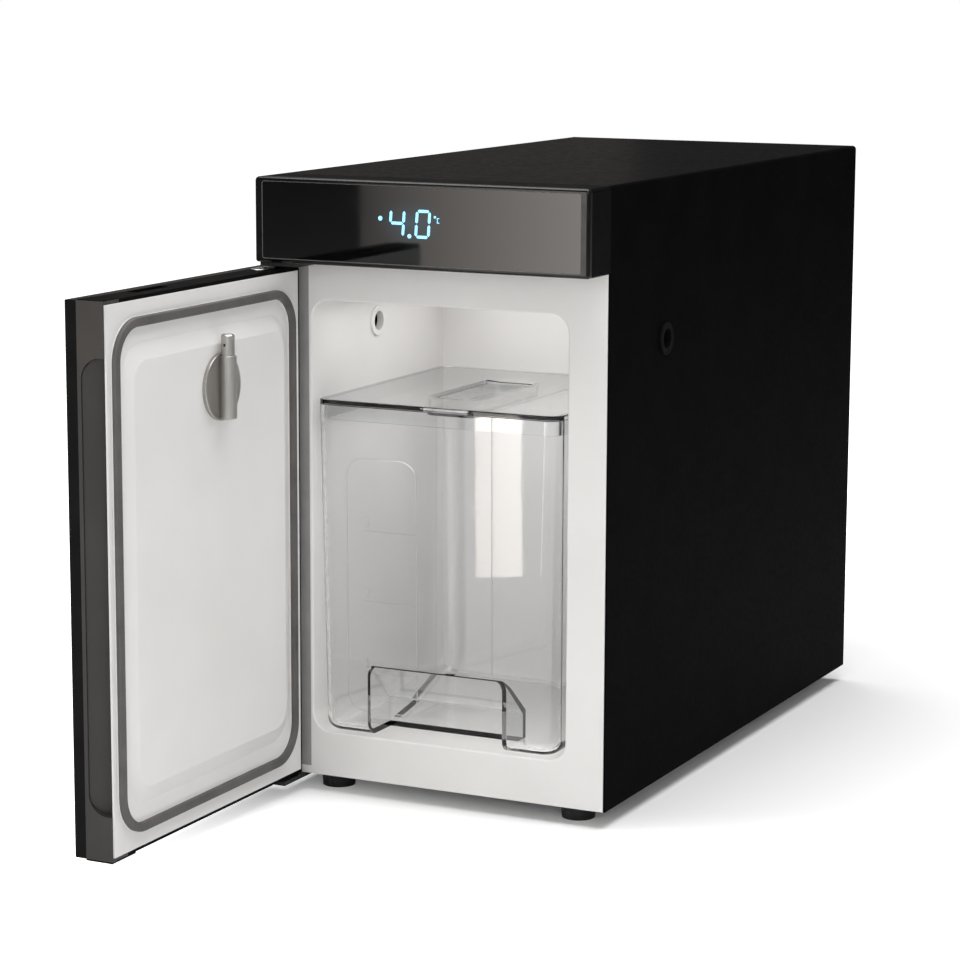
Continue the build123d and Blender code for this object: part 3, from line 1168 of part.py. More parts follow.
def power_inlet():
    body_x = around(INLET_X, INLET_WIDTH)
    body_z = around(INLET_Z, INLET_HEIGHT)
    flange_y = (BACK, BACK + INLET_FLANGE)
    inlet = block(body_x, (BACK - INLET_DEPTH, BACK), body_z)
    flange = window(around(INLET_X, INLET_FLANGE_WIDTH), around(INLET_Z, INLET_FLANGE_HEIGHT), INLET_WALL)
    inlet += prism_y(flange, flange_y)
    floor = flange_y[1] - INLET_SOCKET_DEPTH
    inlet -= block(grown(body_x, -INLET_WALL), (floor, flange_y[1]), grown(body_z, -INLET_WALL))
    for number, lift in ((-1, -1), (0, 1), (1, -1)):
        x = INLET_X + number * INLET_PIN_SPACING
        z = INLET_Z + lift * INLET_PIN_WIDTH
        pin_y = (floor, floor + INLET_PIN_LENGTH)
        inlet += block(around(x, INLET_PIN_WIDTH), pin_y, around(z, INLET_PIN_HEIGHT))
    return inlet


def switch_body():
    body = block(SWITCH_BODY_X, (BACK - SWITCH_DEPTH, BACK), SWITCH_BODY_Z)
    flange_y = (BACK, BACK + SWITCH_FLANGE)
    flange = window(grown(SWITCH_BODY_X, SWITCH_FLANGE_BORDER), grown(SWITCH_BODY_Z, SWITCH_FLANGE_BORDER),
                    SWITCH_FLANGE_BORDER)
    body += prism_y(flange, flange_y)
    slot_y = (ROCKER_Y - ROCKER_RADIUS - ROCKER_FIT, flange_y[1])
    body -= block(around(SWITCH_X, 2 * SWITCH_SLOT_X), slot_y, around(INLET_Z, 2 * SWITCH_SLOT_Z))
    pivot = around(SWITCH_X, 2 * (SWITCH_SLOT_X + ROCKER_PIVOT_LENGTH))
    return body - rod_x(ROCKER_PIVOT_DIAMETER / 2 + ROCKER_PIVOT_FIT, pivot, ROCKER_Y, INLET_Z)


def switch_rocker():
    disc = rod_x(ROCKER_RADIUS, around(0, ROCKER_WIDTH), 0, 0)
    rise = ROCKER_RADIUS * tan(radians(ROCKER_TILT))
    far = 2 * ROCKER_RADIUS
    high = ROCKER_RADIUS
    valley = Polygon((ROCKER_CREST, 0), (far, 0), (far, high), (ROCKER_CREST + rise, high))
    upper = prism_x(valley, around(0, ROCKER_WIDTH))
    disc -= upper
    disc -= mirror(upper, Plane.XY)
    disc += rod_x(ROCKER_PIVOT_DIAMETER / 2, around(0, ROCKER_WIDTH + 2 * ROCKER_PIVOT_LENGTH), 0, 0)
    return Pos(SWITCH_X, ROCKER_Y, INLET_Z) * Rot(-ROCKER_TILT, 0, 0) * disc


PIECES = {
    "casing_left": casing_side(-1),
    "casing_right": casing_side(1),
    "casing_top": casing_top(),
    "rear_frame": rear_frame(),
    "base_pan": base_pan(),
    "rear_cover": rear_cover(),
    "rear_screws": rear_screws(),
    "bulkhead_plate": bulkhead_plate(),
    "foot_screws": foot_screws(),
    "inner_liner": inner_liner(),
    "liner_left_panel": liner_side_panel(-1),
    "liner_right_panel": liner_side_panel(1),
    "liner_back_panel": liner_back_panel(),
    "hinge_side_strip": hinge_side_strip(),
    "foam_insulation": foam_insulation(),
    "evaporator_plate": evaporator_plate(),
    "temperature_probe": temperature_probe(),
    "header_housing": header_housing(),
    "header_bezel": header_bezel(),
    "header_glass": header_glass(),
    "display_module": display_module(),
    "upper_hinge_bracket": upper_hinge_bracket(),
    "lower_hinge_bracket": lower_hinge_bracket(),
    "hinge_screws": hinge_screws(),
    "compressor": compressor(),
    "compressor_grommets": compressor_grommets(),
    "condenser": condenser(),
    "discharge_line": discharge_line(),
    "filter_drier": filter_drier(),
    "capillary_tube": capillary_tube(),
    "suction_line": suction_line(),
    "fan_frame": fan_frame(),
    "fan_rotor": fan_rotor(),
    "control_box": control_box(),
    "control_board": control_board(),
    "power_inlet": power_inlet(),
    "switch_body": switch_body(),
    "switch_rocker": switch_rocker(),
    "milk_container": milk_container(),
    "container_lid": container_lid(),
}
for name, place in FOOT_PLACES.items():
    PIECES[f"foot_{name}"] = foot(place)
for name, side in (("left", -1), ("right", 1)):
    PIECES[f"hose_bush_{name}"] = hose_bush(side)
    PIECES[f"hose_ring_{name}"] = hose_ring(side)

DOOR_PIECES = {
    "door_outer_panel": door_outer_panel(),
    "door_top_cap": door_top_cap(),
    "door_bottom_cap": door_bottom_cap(),
    "door_hinge_profile": door_hinge_profile(),
    "door_grip_profile": door_grip_profile(),
    "door_foam": door_foam(),
    "door_inner_liner": door_inner_liner(),
    "door_gasket": door_gasket(),
    "upper_hinge_bush": hinge_bush(DOOR_Z[1], -1),
    "lower_hinge_bush": hinge_bush(DOOR_Z[0], 1),
    "nozzle_holder": nozzle_holder(),
    "milk_nozzle": milk_nozzle(),
}
for name, piece in DOOR_PIECES.items():
    PIECES[name] = swung(piece)

os.makedirs("parts", exist_ok=True)
for name, piece in PIECES.items():
    export_step(piece, f"parts/{name}.step")
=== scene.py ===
import json
from math import cos, pi, radians, sin

import bmesh
import bpy
from mathutils import Matrix, Vector

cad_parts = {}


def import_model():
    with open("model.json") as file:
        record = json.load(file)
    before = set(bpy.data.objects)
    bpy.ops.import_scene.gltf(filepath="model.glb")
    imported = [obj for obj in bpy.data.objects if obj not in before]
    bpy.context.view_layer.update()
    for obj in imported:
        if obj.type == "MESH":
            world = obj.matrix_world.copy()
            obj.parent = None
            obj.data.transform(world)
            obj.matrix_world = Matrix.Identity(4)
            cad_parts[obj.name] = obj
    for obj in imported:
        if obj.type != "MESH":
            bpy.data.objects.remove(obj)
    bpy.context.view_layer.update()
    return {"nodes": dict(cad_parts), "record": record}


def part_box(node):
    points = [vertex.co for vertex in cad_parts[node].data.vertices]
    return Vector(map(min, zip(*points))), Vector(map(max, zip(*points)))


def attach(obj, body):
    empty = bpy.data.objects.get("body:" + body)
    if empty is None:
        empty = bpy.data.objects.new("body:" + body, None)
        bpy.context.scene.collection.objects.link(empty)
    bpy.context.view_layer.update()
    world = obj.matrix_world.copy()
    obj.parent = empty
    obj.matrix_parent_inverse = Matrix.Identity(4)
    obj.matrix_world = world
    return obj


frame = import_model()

NODES = frame["nodes"]
MM = 0.001

# Camera, as fitted to the photograph
CAMERA_PLACE = Vector((0.7908, -1.7859, 0.5064))
CAMERA_AZIMUTH = radians(25.9234)
CAMERA_ELEVATION = radians(9.8286)
CAMERA_ROLL = radians(0.2127)
CAMERA_LENS = 113.09
CAMERA_SENSOR = 36.0

# Floor and world
FULL_WHITE = (1.0, 1.0, 1.0, 1.0)
FULL_BLACK = (0.0, 0.0, 0.0, 1.0)
FLOOR_RADIUS = 6.0
FLOOR_SIDES = 96
FLOOR_COLOURS = ((0.90, 0.90, 0.90), (0.92, 0.92, 0.92))
FLOOR_ROUGHNESS = 0.7
FLOOR_SPECULAR = 0.1
FLOOR_TONE = 3.0
FLOOR_CENTRE = (0.05, 0.08, 0.0)
FLOOR_FADE = (0.24, 0.5)
WORLD_LIGHT = 0.08
WORLD_THROUGH = 0.5

# Lights: name, place, what each aims at, size in metres and power in watts
MIDDLE = (0.0, -0.1, 0.2)
LIGHTS = (
    ("overhead", (0.0, -0.1, 2.2), MIDDLE, (2.4, 2.4), 85.0),
    ("front_right_key", (1.3, -1.7, 1.0), MIDDLE, (1.3, 1.3), 9.5),
    ("front_fill", (0.1, -2.2, 0.7), MIDDLE, (1.0, 0.9), 5.5),
    ("cavity_light", (0.0, -0.125, 0.3025), (0.0, -0.125, 0.1), (0.14, 0.15), 0.12),
    ("container_light", (-0.005, -0.12, 0.2312), (-0.005, -0.12, 0.05), (0.12, 0.13), 0.09),
)

# Cards that only reflections show: span along the card, heights, and light at both ends
CARD_AZIMUTH = radians(26.5)
CARD_DISTANCE = 0.6
CARD_SPLIT = 0.2
CARD_COLOUR = (1.0, 0.93, 0.88, 1.0)
GLASS_CARD = ((-0.051, 0.150), (CARD_SPLIT, 0.5), (0.9, 5.6))
CONTAINER_CARD = ((0.010, 0.047), (0.0, CARD_SPLIT), (5.5, 6.5))
TOP_CARD_Y = 1.2
TOP_CARD = ((-1.5, -0.48), (0.38, 0.9), (0.22, 0.22))

# Places on the object, read from the frame
GLASS_LOW, GLASS_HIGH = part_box("header_glass")
TUB_LOW, TUB_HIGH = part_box("milk_container")
LID_LOW, LID_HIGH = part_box("container_lid")
DOOR_CAP_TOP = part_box("door_top_cap")[1].z
GRIP_LOW, GRIP_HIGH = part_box("door_grip_profile")

# Display
DIGIT_HEIGHT = 16.6 * MM
DIGIT_SLANT = radians(4.0)
STROKE = 1.7 * MM
STROKE_GAP = 0.35 * MM
DIGIT_PROUD = 0.12 * MM
DIGIT_BASE = 346.9 * MM
DIGITS = (("4", -19.1 * MM, 10.2 * MM), ("0", -2.2 * MM, 9.8 * MM))
SEGMENTS = {"4": "bcfg", "0": "abcdef"}
DECIMAL_POINT = (-5.4 * MM, 348.0 * MM, 1.25 * MM)
LEAD_DOT = (-24.3 * MM, 357.6 * MM, 1.35 * MM)
DEGREE_DOT = (11.1 * MM, 359.6 * MM, 0.75 * MM)
UNIT_LETTER = (13.2 * MM, 357.6 * MM, 1.5 * MM)
UNIT_STROKE = 0.42 * MM
DISC_STEPS = 20

# Trim bead round the glass, its lighter grey partly a painted highlight of the glass's edge
TRIM_RADIUS = 0.35 * MM
TRIM_CORNER = 1.5 * MM

# Hinge plate on the door's top cap with its screw, and the cap on the grip's upper end
PLATE_PLACE = (-105.0 * MM, -238.0 * MM)
PLATE_HALF_LENGTH = 5.0 * MM
PLATE_RADIUS = 5.0 * MM
PLATE_HEIGHT = 0.5 * MM
PLATE_BEVEL = 0.2 * MM
PLATE_SCREW_RADIUS = 2.4 * MM
PLATE_SCREW_HEIGHT = 0.8 * MM
END_CAP_CORNER = 1.2 * MM
END_CAP_HEIGHT = 0.4 * MM
HEAD_RINGS = 14
HEAD_STEPS = 64
HEAD_DOME_POWER = 4
CROSS_REACH = 1.4 * MM
CROSS_HALF_WIDTH = 0.35 * MM
CROSS_DEPTH = 0.6 * MM
CORNER_STEPS = 8
OVAL_STEPS = 16

# Dark crosses on the rear screws' heads, painted shade standing in for cross recesses
REAR_CROSS_REACH = 1.9 * MM
REAR_CROSS_HALF_WIDTH = 0.45 * MM
REAR_CROSS_PROUD = 0.06 * MM
HEAD_FACE_DEPTH = 0.3 * MM
HEAD_REACH = 9.0 * MM

# Marks moulded on the container and its lid
END_DRAFT = 2.0 * MM
BEAD_RESOLUTION = 2
MARK_RADIUS = 0.28 * MM
TICK_X = (-52.0 * MM, -18.0 * MM)
TICK_HEIGHTS = (165.7 * MM, 122.4 * MM, 78.7 * MM)
TICK_NUMBERS = "321"
NUMERAL_HEIGHT = 5.6 * MM
NUMERAL_WIDTH = NUMERAL_HEIGHT * 0.55
NUMERAL_RISE = 2.6 * MM
NUMERALS = {
    "1": [[(0.2, 0.8), (0.5, 1.0), (0.5, 0.0)], [(0.2, 0.0), (0.8, 0.0)]],
    "2": [[(0.05, 0.78), (0.2, 0.96), (0.5, 1.0), (0.8, 0.94), (0.95, 0.76), (0.85, 0.55), (0.05, 0.0),
           (1.0, 0.0)]],
    "3": [[(0.05, 0.95), (0.9, 1.0), (0.45, 0.6), (0.8, 0.52), (0.95, 0.3), (0.8, 0.06), (0.4, 0.0),
           (0.05, 0.1)]],
}
PANEL_X = (-64.0 * MM, -17.0 * MM)
PANEL_Z = (54.0 * MM, 210.0 * MM)
PANEL_CORNER = 11.0 * MM
SEAM_X = 33.0 * MM
SEAM_RADIUS = 0.32 * MM
SEAM_LOW = 64.0 * MM
LID_SEAM_INSET = 4.0 * MM

# Surface detail: scales are per metre, a grain has its detail too, and a bump is a strength and a depth
NOISE_DETAIL = 2.0
NOISE_MIDDLE = (0.3, 0.7)
PAINT_TONE = 35.0
PAINT_GLOSS = 260.0
PAINT_ROUGH = (0.44, 0.54)
PAINT_PEEL = (1400.0, 3.0)
PAINT_BUMP = (0.12, 0.05 * MM)
PLASTIC_TONE = 18.0
PLASTIC_GLOSS = 120.0
PLASTIC_GRAIN = (2600.0, 2.0)
PLASTIC_DEPTH = 0.04 * MM
BRUSH_LINES = (60.0, 4.0)
BRUSH_BUMP = (0.05, 0.05 * MM)
RUBBER_TONE = 60.0
RUBBER_GLOSS = 400.0
RUBBER_ROUGH = (0.55, 0.72)
RUBBER_SPECULAR = 0.35
RUBBER_GRAIN = (1800.0, 3.0)
RUBBER_BUMP = (0.15, 0.05 * MM)
CLEAR_IOR = 1.46
CLEAR_COLOURS = ((0.985, 0.99, 0.99), (0.995, 0.998, 0.998))
CLEAR_TONE = 25.0
CLEAR_GLOSS = 90.0
CLEAR_ROUGH = (0.0, 0.035)
CLEAR_WAVES = (30.0, 1.0)
CLEAR_BUMP = (0.04, 0.4 * MM)
GLASS_IOR = 1.5
GLASS_SPECULAR = 0.5
GLASS_COLOURS = ((0.0012, 0.0012, 0.0014), (0.0022, 0.0022, 0.0024))
GLASS_TONE = 30.0
GLASS_SMEAR = (45.0, 4.0)
GLASS_ROUGH = (0.03, 0.07)
# Painted glow of the display, emitted by the glass round the digits
GLOW_X = -6.0 * MM
GLOW_Z = 355.4 * MM
GLOW_REACH = (27.0 * MM, 27.0 * MM, 17.0 * MM)
GLOW_COLOUR = (0.02, 0.075, 0.12)
GLOW_STRENGTH = 0.5
SEGMENT_COLOURS = ((0.30, 0.72, 0.95), (0.45, 0.85, 1.0))
SEGMENT_TONE = 900.0
SEGMENT_ROUGHNESS = 0.4
SEGMENT_GLOWS = ((0.10, 0.50, 0.92), (0.24, 0.70, 1.0))
SEGMENT_GLOW_SCALE = 500.0
SEGMENT_STRENGTH = 1.05
FOAM_COLOURS = ((0.74, 0.66, 0.45), (0.86, 0.80, 0.60))
FOAM_TONE = (80.0, 4.0)
FOAM_CELLS = (700.0, 4.0)
FOAM_BUMP = (0.5, 0.4 * MM)
FOAM_ROUGHNESS = 0.9
FOAM_SPECULAR = 0.2
BOARD_COLOURS = (("Color1", (0.02, 0.13, 0.05, 1.0)), ("Color2", (0.03, 0.18, 0.07, 1.0)),
                 ("Mortar", (0.10, 0.30, 0.12, 1.0)))
BOARD_SCALE = 120.0
BOARD_ROUGHNESS = 0.4


# Objects

def new_object(name, data):
    obj = bpy.data.objects.new(name, data)
    bpy.context.scene.collection.objects.link(obj)
    return obj


def new_mesh(name, bm):
    mesh = bpy.data.meshes.new(name)
    bm.to_mesh(mesh)
    bm.free()
    return mesh


def piece(name, mesh, material, body):
    """A piece of the part with its material, riding on a body."""
    mesh.materials.append(material)
    obj = new_object(name, mesh)
    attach(obj, body)


def solid_piece(name, bm, material, body):
    """A piece made of a closed bmesh."""
    bmesh.ops.recalc_face_normals(bm, faces=bm.faces)
    piece(name, new_mesh(name, bm), material, body)


def bead(name, lines, radius, material, body):
    """A piece made of round beads along open lines of points."""
    curve = bpy.data.curves.new(name, "CURVE")
    curve.dimensions = "3D"
    curve.bevel_depth = radius
    curve.bevel_resolution = BEAD_RESOLUTION
    curve.use_fill_caps = True
    for points in lines:
        spline = curve.splines.new("POLY")
        spline.points.add(len(points) - 1)
        for target, point in zip(spline.points, points):
            target.co = (*point, 1.0)
    rod = bpy.data.objects.new(name, curve)
    mesh = bpy.data.meshes.new_from_object(rod)
    bpy.data.objects.remove(rod)
    bpy.data.curves.remove(curve)
    mesh.name = name
    mesh.materials.clear()
    piece(name, mesh, material, body)


# Materials

class Surface:
    """A principled material with procedural detail measured in metres on the part."""

    def __init__(self, name, roughness, **sockets):
        self.material = bpy.data.materials.new(name)
        self.material.use_nodes = True
        self.nodes = self.material.node_tree.nodes
        self.links = self.material.node_tree.links
        self.shader = self.nodes["Principled BSDF"]
        self.shader.inputs["Roughness"].default_value = roughness
        for socket, value in sockets.items():
            self.shader.inputs[socket.replace("_", " ")].default_value = value
        self.place = self.nodes.new("ShaderNodeTexCoord").outputs["Object"]

    def noise(self, scale, detail=NOISE_DETAIL, stretch=None):
        place = self.place
        if stretch:
            mapping = self.nodes.new("ShaderNodeMapping")
            mapping.inputs["Scale"].default_value = stretch
            self.links.new(place, mapping.inputs["Vector"])
            place = mapping.outputs["Vector"]
        texture = self.nodes.new("ShaderNodeTexNoise")
        texture.inputs["Scale"].default_value = scale
        texture.inputs["Detail"].default_value = detail
        self.links.new(place, texture.inputs["Vector"])
        return texture.outputs["Fac"]

    def spread(self, value, low, high):
        """Maps the middle of a noise to a range."""
        spread = self.nodes.new("ShaderNodeMapRange")
        spread.inputs["From Min"].default_value = NOISE_MIDDLE[0]
        spread.inputs["From Max"].default_value = NOISE_MIDDLE[1]
        spread.inputs["To Min"].default_value = low
        spread.inputs["To Max"].default_value = high
        self.links.new(value, spread.inputs["Value"])
        return spread.outputs["Result"]

    def mix(self, first, second, factor, target):
        """Joins two colours by a factor into one of the shader's sockets."""
        mix = self.nodes.new("ShaderNodeMix")
        mix.data_type = "RGBA"
        mix.inputs["A"].default_value = (*first, 1.0)
        mix.inputs["B"].default_value = (*second, 1.0)
        self.links.new(factor, mix.inputs["Factor"])
        self.links.new(mix.outputs["Result"], self.shader.inputs[target])

    def colour(self, first, second, factor):
        self.mix(first, second, self.spread(factor, 0.0, 1.0), "Base Color")

    def rough(self, span, factor):
        self.links.new(self.spread(factor, *span), self.shader.inputs["Roughness"])

    def bump(self, height, strength, distance):
        bump = self.nodes.new("ShaderNodeBump")
        bump.inputs["Strength"].default_value = strength
        bump.inputs["Distance"].default_value = distance
        self.links.new(height, bump.inputs["Height"])
        self.links.new(bump.outputs["Normal"], self.shader.inputs["Normal"])


def powder_coat(name, dark, light, specular, rough=PAINT_ROUGH):
    """Satin paint with the fine orange peel of a powder coat."""
    s = Surface(name, rough[0], Specular_IOR_Level=specular)
    s.colour(dark, light, s.noise(PAINT_TONE))
    s.rough(rough, s.noise(PAINT_GLOSS))
    s.bump(s.noise(*PAINT_PEEL), *PAINT_BUMP)
    return s.material


def moulded(name, dark, light, rough, specular=0.5, grain=0.08):
    """Injection-moulded plastic with a spark-eroded grain and slight unevenness of colour."""
    s = Surface(name, rough[0], Specular_IOR_Level=specular)
    s.colour(dark, light, s.noise(PLASTIC_TONE))
    s.rough(rough, s.noise(PLASTIC_GLOSS))
    s.bump(s.noise(*PLASTIC_GRAIN), grain, PLASTIC_DEPTH)
    return s.material


def brushed(name, dark, light, rough, stretch):
    """Metal with fine lines along one axis."""
    s = Surface(name, rough[0], Metallic=1.0)
    lines = s.noise(*BRUSH_LINES, stretch)
    s.colour(dark, light, lines)
    s.rough(rough, lines)
    s.bump(lines, *BRUSH_BUMP)
    return s.material


def rubber(name, dark, light):
    """Matt rubber with a fine grain."""
    s = Surface(name, RUBBER_ROUGH[0], Specular_IOR_Level=RUBBER_SPECULAR)
    s.colour(dark, light, s.noise(RUBBER_TONE))
    s.rough(RUBBER_ROUGH, s.noise(RUBBER_GLOSS))
    s.bump(s.noise(*RUBBER_GRAIN), *RUBBER_BUMP)
    return s.material


def clear_plastic():
    """Clear plastic with the slight waves of a moulding."""
    s = Surface("clear_plastic", CLEAR_ROUGH[1], Transmission_Weight=1.0, IOR=CLEAR_IOR)
    s.colour(*CLEAR_COLOURS, s.noise(CLEAR_TONE))
    s.rough(CLEAR_ROUGH, s.noise(CLEAR_GLOSS))
    s.bump(s.noise(*CLEAR_WAVES), *CLEAR_BUMP)
    return s.material


def display_glass():
    """Dark glass with a painted glow of the display spreading round the digits."""
    s = Surface("display_glass", GLASS_ROUGH[0], Specular_IOR_Level=GLASS_SPECULAR, IOR=GLASS_IOR)
    s.colour(*GLASS_COLOURS, s.noise(GLASS_TONE))
    s.rough(GLASS_ROUGH, s.noise(*GLASS_SMEAR))
    mapping = s.nodes.new("ShaderNodeMapping")
    mapping.vector_type = "TEXTURE"
    mapping.inputs["Location"].default_value = (GLOW_X, GLASS_LOW.y, GLOW_Z)
    mapping.inputs["Scale"].default_value = GLOW_REACH
    s.links.new(s.place, mapping.inputs["Vector"])
    glow = s.nodes.new("ShaderNodeTexGradient")
    glow.gradient_type = "QUADRATIC_SPHERE"
    s.links.new(mapping.outputs["Vector"], glow.inputs["Vector"])
    s.mix(FULL_BLACK[:3], GLOW_COLOUR, glow.outputs["Fac"], "Emission Color")
    s.shader.inputs["Emission Strength"].default_value = GLOW_STRENGTH
    return s.material


def display_light():
    """Cool light of the display's segments, a little uneven along each stroke."""
    s = Surface("display_light", SEGMENT_ROUGHNESS)
    s.colour(*SEGMENT_COLOURS, s.noise(SEGMENT_TONE))
    s.mix(*SEGMENT_GLOWS, s.noise(SEGMENT_GLOW_SCALE), "Emission Color")
    s.shader.inputs["Emission Strength"].default_value = SEGMENT_STRENGTH
    return s.material


def foam():
    """Insulating foam with open cells."""
    s = Surface("foam", FOAM_ROUGHNESS, Specular_IOR_Level=FOAM_SPECULAR)
    s.colour(*FOAM_COLOURS, s.noise(*FOAM_TONE))
    s.bump(s.noise(*FOAM_CELLS), *FOAM_BUMP)
    return s.material


def circuit_board():
    """Green board with a net of paler tracks."""
    s = Surface("circuit_board", BOARD_ROUGHNESS)
    tracks = s.nodes.new("ShaderNodeTexBrick")
    tracks.inputs["Scale"].default_value = BOARD_SCALE
    for socket, colour in BOARD_COLOURS:
        tracks.inputs[socket].default_value = colour
    s.links.new(s.place, tracks.inputs["Vector"])
    s.links.new(tracks.outputs["Color"], s.shader.inputs["Base Color"])
    return s.material


ALONG_Z = (40.0, 40.0, 1.0)
ALONG_X = (1.0, 40.0, 40.0)
CASING_BLACKS = ((0.0026, 0.0023, 0.0024), (0.0036, 0.0032, 0.0033))
PAINT = powder_coat("satin_black_paint", *CASING_BLACKS, 0.004)
TOP_PAINT = powder_coat("satin_black_top", *CASING_BLACKS, 0.006, rough=(0.28, 0.36))
DOOR_PAINT = powder_coat("satin_black_door", (0.008, 0.008, 0.008), (0.011, 0.011, 0.011), 0.03,
                         rough=(0.2, 0.28))
REAR_PAINT = powder_coat("satin_black_rear", (0.012, 0.012, 0.012), (0.016, 0.016, 0.016), 0.25)
BLACK_PLASTIC = moulded("black_plastic", (0.004, 0.004, 0.004), (0.006, 0.0058, 0.0058), (0.42, 0.55),
                        specular=0.012)
GLOSS_BLACK = moulded("gloss_black", (0.004, 0.004, 0.004), (0.006, 0.006, 0.006), (0.12, 0.2),
                      specular=0.3, grain=0.01)
WHITE = moulded("white_plastic", (0.745, 0.73, 0.715), (0.775, 0.76, 0.745), (0.34, 0.44),
                specular=0.4, grain=0.04)
GRIP = moulded("dark_grey_grip", (0.030, 0.027, 0.025), (0.040, 0.036, 0.033), (0.36, 0.46), specular=0.35)
GASKET = rubber("grey_rubber", (0.085, 0.079, 0.075), (0.115, 0.108, 0.103))
# The hinge-side strip's grey is painted shade: it stands for the shaded floor of the groove beside the
# door's hinge edge.
HINGE_STRIP_SHADE = rubber("hinge_strip_painted_shade", (0.28, 0.275, 0.27), (0.33, 0.325, 0.32))
BLACK_RUBBER = rubber("black_rubber", (0.008, 0.008, 0.008), (0.016, 0.016, 0.016))
CLEAR = clear_plastic()
SATIN_CHROME = brushed("satin_chrome", (0.34, 0.33, 0.31), (0.46, 0.445, 0.425), (0.3, 0.4), ALONG_Z)
BLACK_STEEL = powder_coat("black_steel", (0.012, 0.012, 0.012), (0.020, 0.020, 0.020), 0.4)
BRIGHT_STEEL = brushed("bright_steel", (0.50, 0.50, 0.49), (0.66, 0.66, 0.65), (0.28, 0.42), ALONG_X)
ALUMINIUM = brushed("bare_aluminium", (0.60, 0.60, 0.61), (0.74, 0.74, 0.75), (0.3, 0.45), ALONG_X)
COPPER = brushed("copper", (0.62, 0.32, 0.20), (0.78, 0.44, 0.29), (0.25, 0.4), ALONG_X)
FOAM = foam()
GREY_BOX = moulded("grey_box", (0.24, 0.24, 0.25), (0.29, 0.29, 0.30), (0.5, 0.6))
BOARD = circuit_board()
GLASS = display_glass()
LIGHT = display_light()
# A trim bead lighter than the black round it: its grey is partly a painted highlight along the glass's
# chamfered edge.
EDGE_HIGHLIGHT_TRIM = moulded("glass_edge_highlight_trim", (0.07, 0.068, 0.066), (0.09, 0.088, 0.086), (0.25, 0.35), grain=0.01)

# Finish of each slot, and of the nodes whose finish differs from their slot's
FINISHES = {
    "satin_black_paint": PAINT,
    "black_plastic": BLACK_PLASTIC,
    "gloss_black": GLOSS_BLACK,
    "dark_glass": GLASS,
    "white_plastic": WHITE,
    "dark_grey_grip": GRIP,
    "grey_rubber": GASKET,
    "black_rubber": BLACK_RUBBER,
    "clear_plastic": CLEAR,
    "satin_chrome": SATIN_CHROME,
    "black_steel": BLACK_STEEL,
    "bright_steel": BRIGHT_STEEL,
    "bare_aluminium": ALUMINIUM,
    "copper": COPPER,
    "foam": FOAM,
    "grey_box": GREY_BOX,
    "circuit_board": BOARD,
}
NODE_FINISHES = {
    "casing_top": TOP_PAINT,
    "rear_cover": REAR_PAINT,
    "door_outer_panel": DOOR_PAINT,
    # painted shade of the hinge-side groove on this strip
    "hinge_side_strip": HINGE_STRIP_SHADE,
}
CLEAR_NODES = ("milk_container", "container_lid")


def finish_nodes():
    for subpart in frame["record"]["subparts"]:
        node = NODES[subpart["node"]]
        node.data.materials.clear()
        finish = NODE_FINISHES.get(subpart["node"], FINISHES[subpart["material_slot"]])
        node.data.materials.append(finish)
    # Light passes through the clear nodes, so they throw no dark shadow in the cavity
    for name in CLEAR_NODES:
        NODES[name].visible_shadow = False


# Display digits

def rectangle(u, v):
    """A rectangle's corners, given by its spans."""
    return [(u[0], v[0]), (u[1], v[0]), (u[1], v[1]), (u[0], v[1])]


def disc(x, z, radius):
    turns = [2 * pi * i / DISC_STEPS for i in range(DISC_STEPS)]
    return [(x + radius * cos(a), z + radius * sin(a)) for a in turns]


def prism(bm, outline, y):
    """A closed prism with an outline in X and Z, between two depths."""
    front = [bm.verts.new((x, y[0], z)) for x, z in outline]
    back = [bm.verts.new((x, y[1], z)) for x, z in outline]
    bm.faces.new(front)
    bm.faces.new(back[::-1])
    for i in range(len(outline)):
        j = (i + 1) % len(outline)
        bm.faces.new((front[i], front[j], back[j], back[i]))


def segment_outlines(letters, width):
    """The six-sided strokes of a seven-segment digit, in its own X and Z from its lower left corner."""
    half = STROKE / 2
    left, right = half, width - half
    low, middle, high = half, DIGIT_HEIGHT / 2, DIGIT_HEIGHT - half
    ends = {
        "a": ((left, high), (right, high)), "b": ((right, middle), (right, high)),
        "c": ((right, low), (right, middle)), "d": ((left, low), (right, low)),
        "e": ((left, low), (left, middle)), "f": ((left, middle), (left, high)),
        "g": ((left, middle), (right, middle)),
    }
    for letter in letters:
        (x0, z0), (x1, z1) = ends[letter]
        along = Vector((x1 - x0, z1 - z0)).normalized()
        across = Vector((-along.y, along.x)) * half
        start = Vector((x0, z0)) + along * STROKE_GAP
        end = Vector((x1, z1)) - along * STROKE_GAP
        inset = along * half
        yield [start, start + inset - across, end - inset - across,
               end, end - inset + across, start + inset + across]


def unit_letter():
    """The three strokes of the unit after the degree dot."""
    x, z, size = UNIT_LETTER
    across = (x - size / 2, x + size / 2)
    upward = (z - size, z + size)
    yield rectangle((across[0], across[0] + UNIT_STROKE), upward)
    yield rectangle(across, (upward[1] - UNIT_STROKE, upward[1]))
    yield rectangle(across, (upward[0], upward[0] + UNIT_STROKE))


def display_digits():
    """The lit digits, just proud of the glass so that they show."""
    bm = bmesh.new()
    depth = (GLASS_LOW.y - DIGIT_PROUD, GLASS_LOW.y)
    for digit, x, width in DIGITS:
        for outline in segment_outlines(SEGMENTS[digit], width):
            prism(bm, [(x + p.x + p.y * sin(DIGIT_SLANT), DIGIT_BASE + p.y) for p in outline], depth)
    for dot in (DECIMAL_POINT, LEAD_DOT, DEGREE_DOT):
        prism(bm, disc(*dot), depth)
    for outline in unit_letter():
        prism(bm, outline, depth)
    solid_piece("display_digits", bm, LIGHT, "cabinet")


# Marks on the container

def front_wall(x, z):
    """A point on the outside of the container's front wall."""
    share = (TUB_HIGH.z - z) / (TUB_HIGH.z - TUB_LOW.z)
    return Vector((x, TUB_LOW.y + END_DRAFT * share, z))


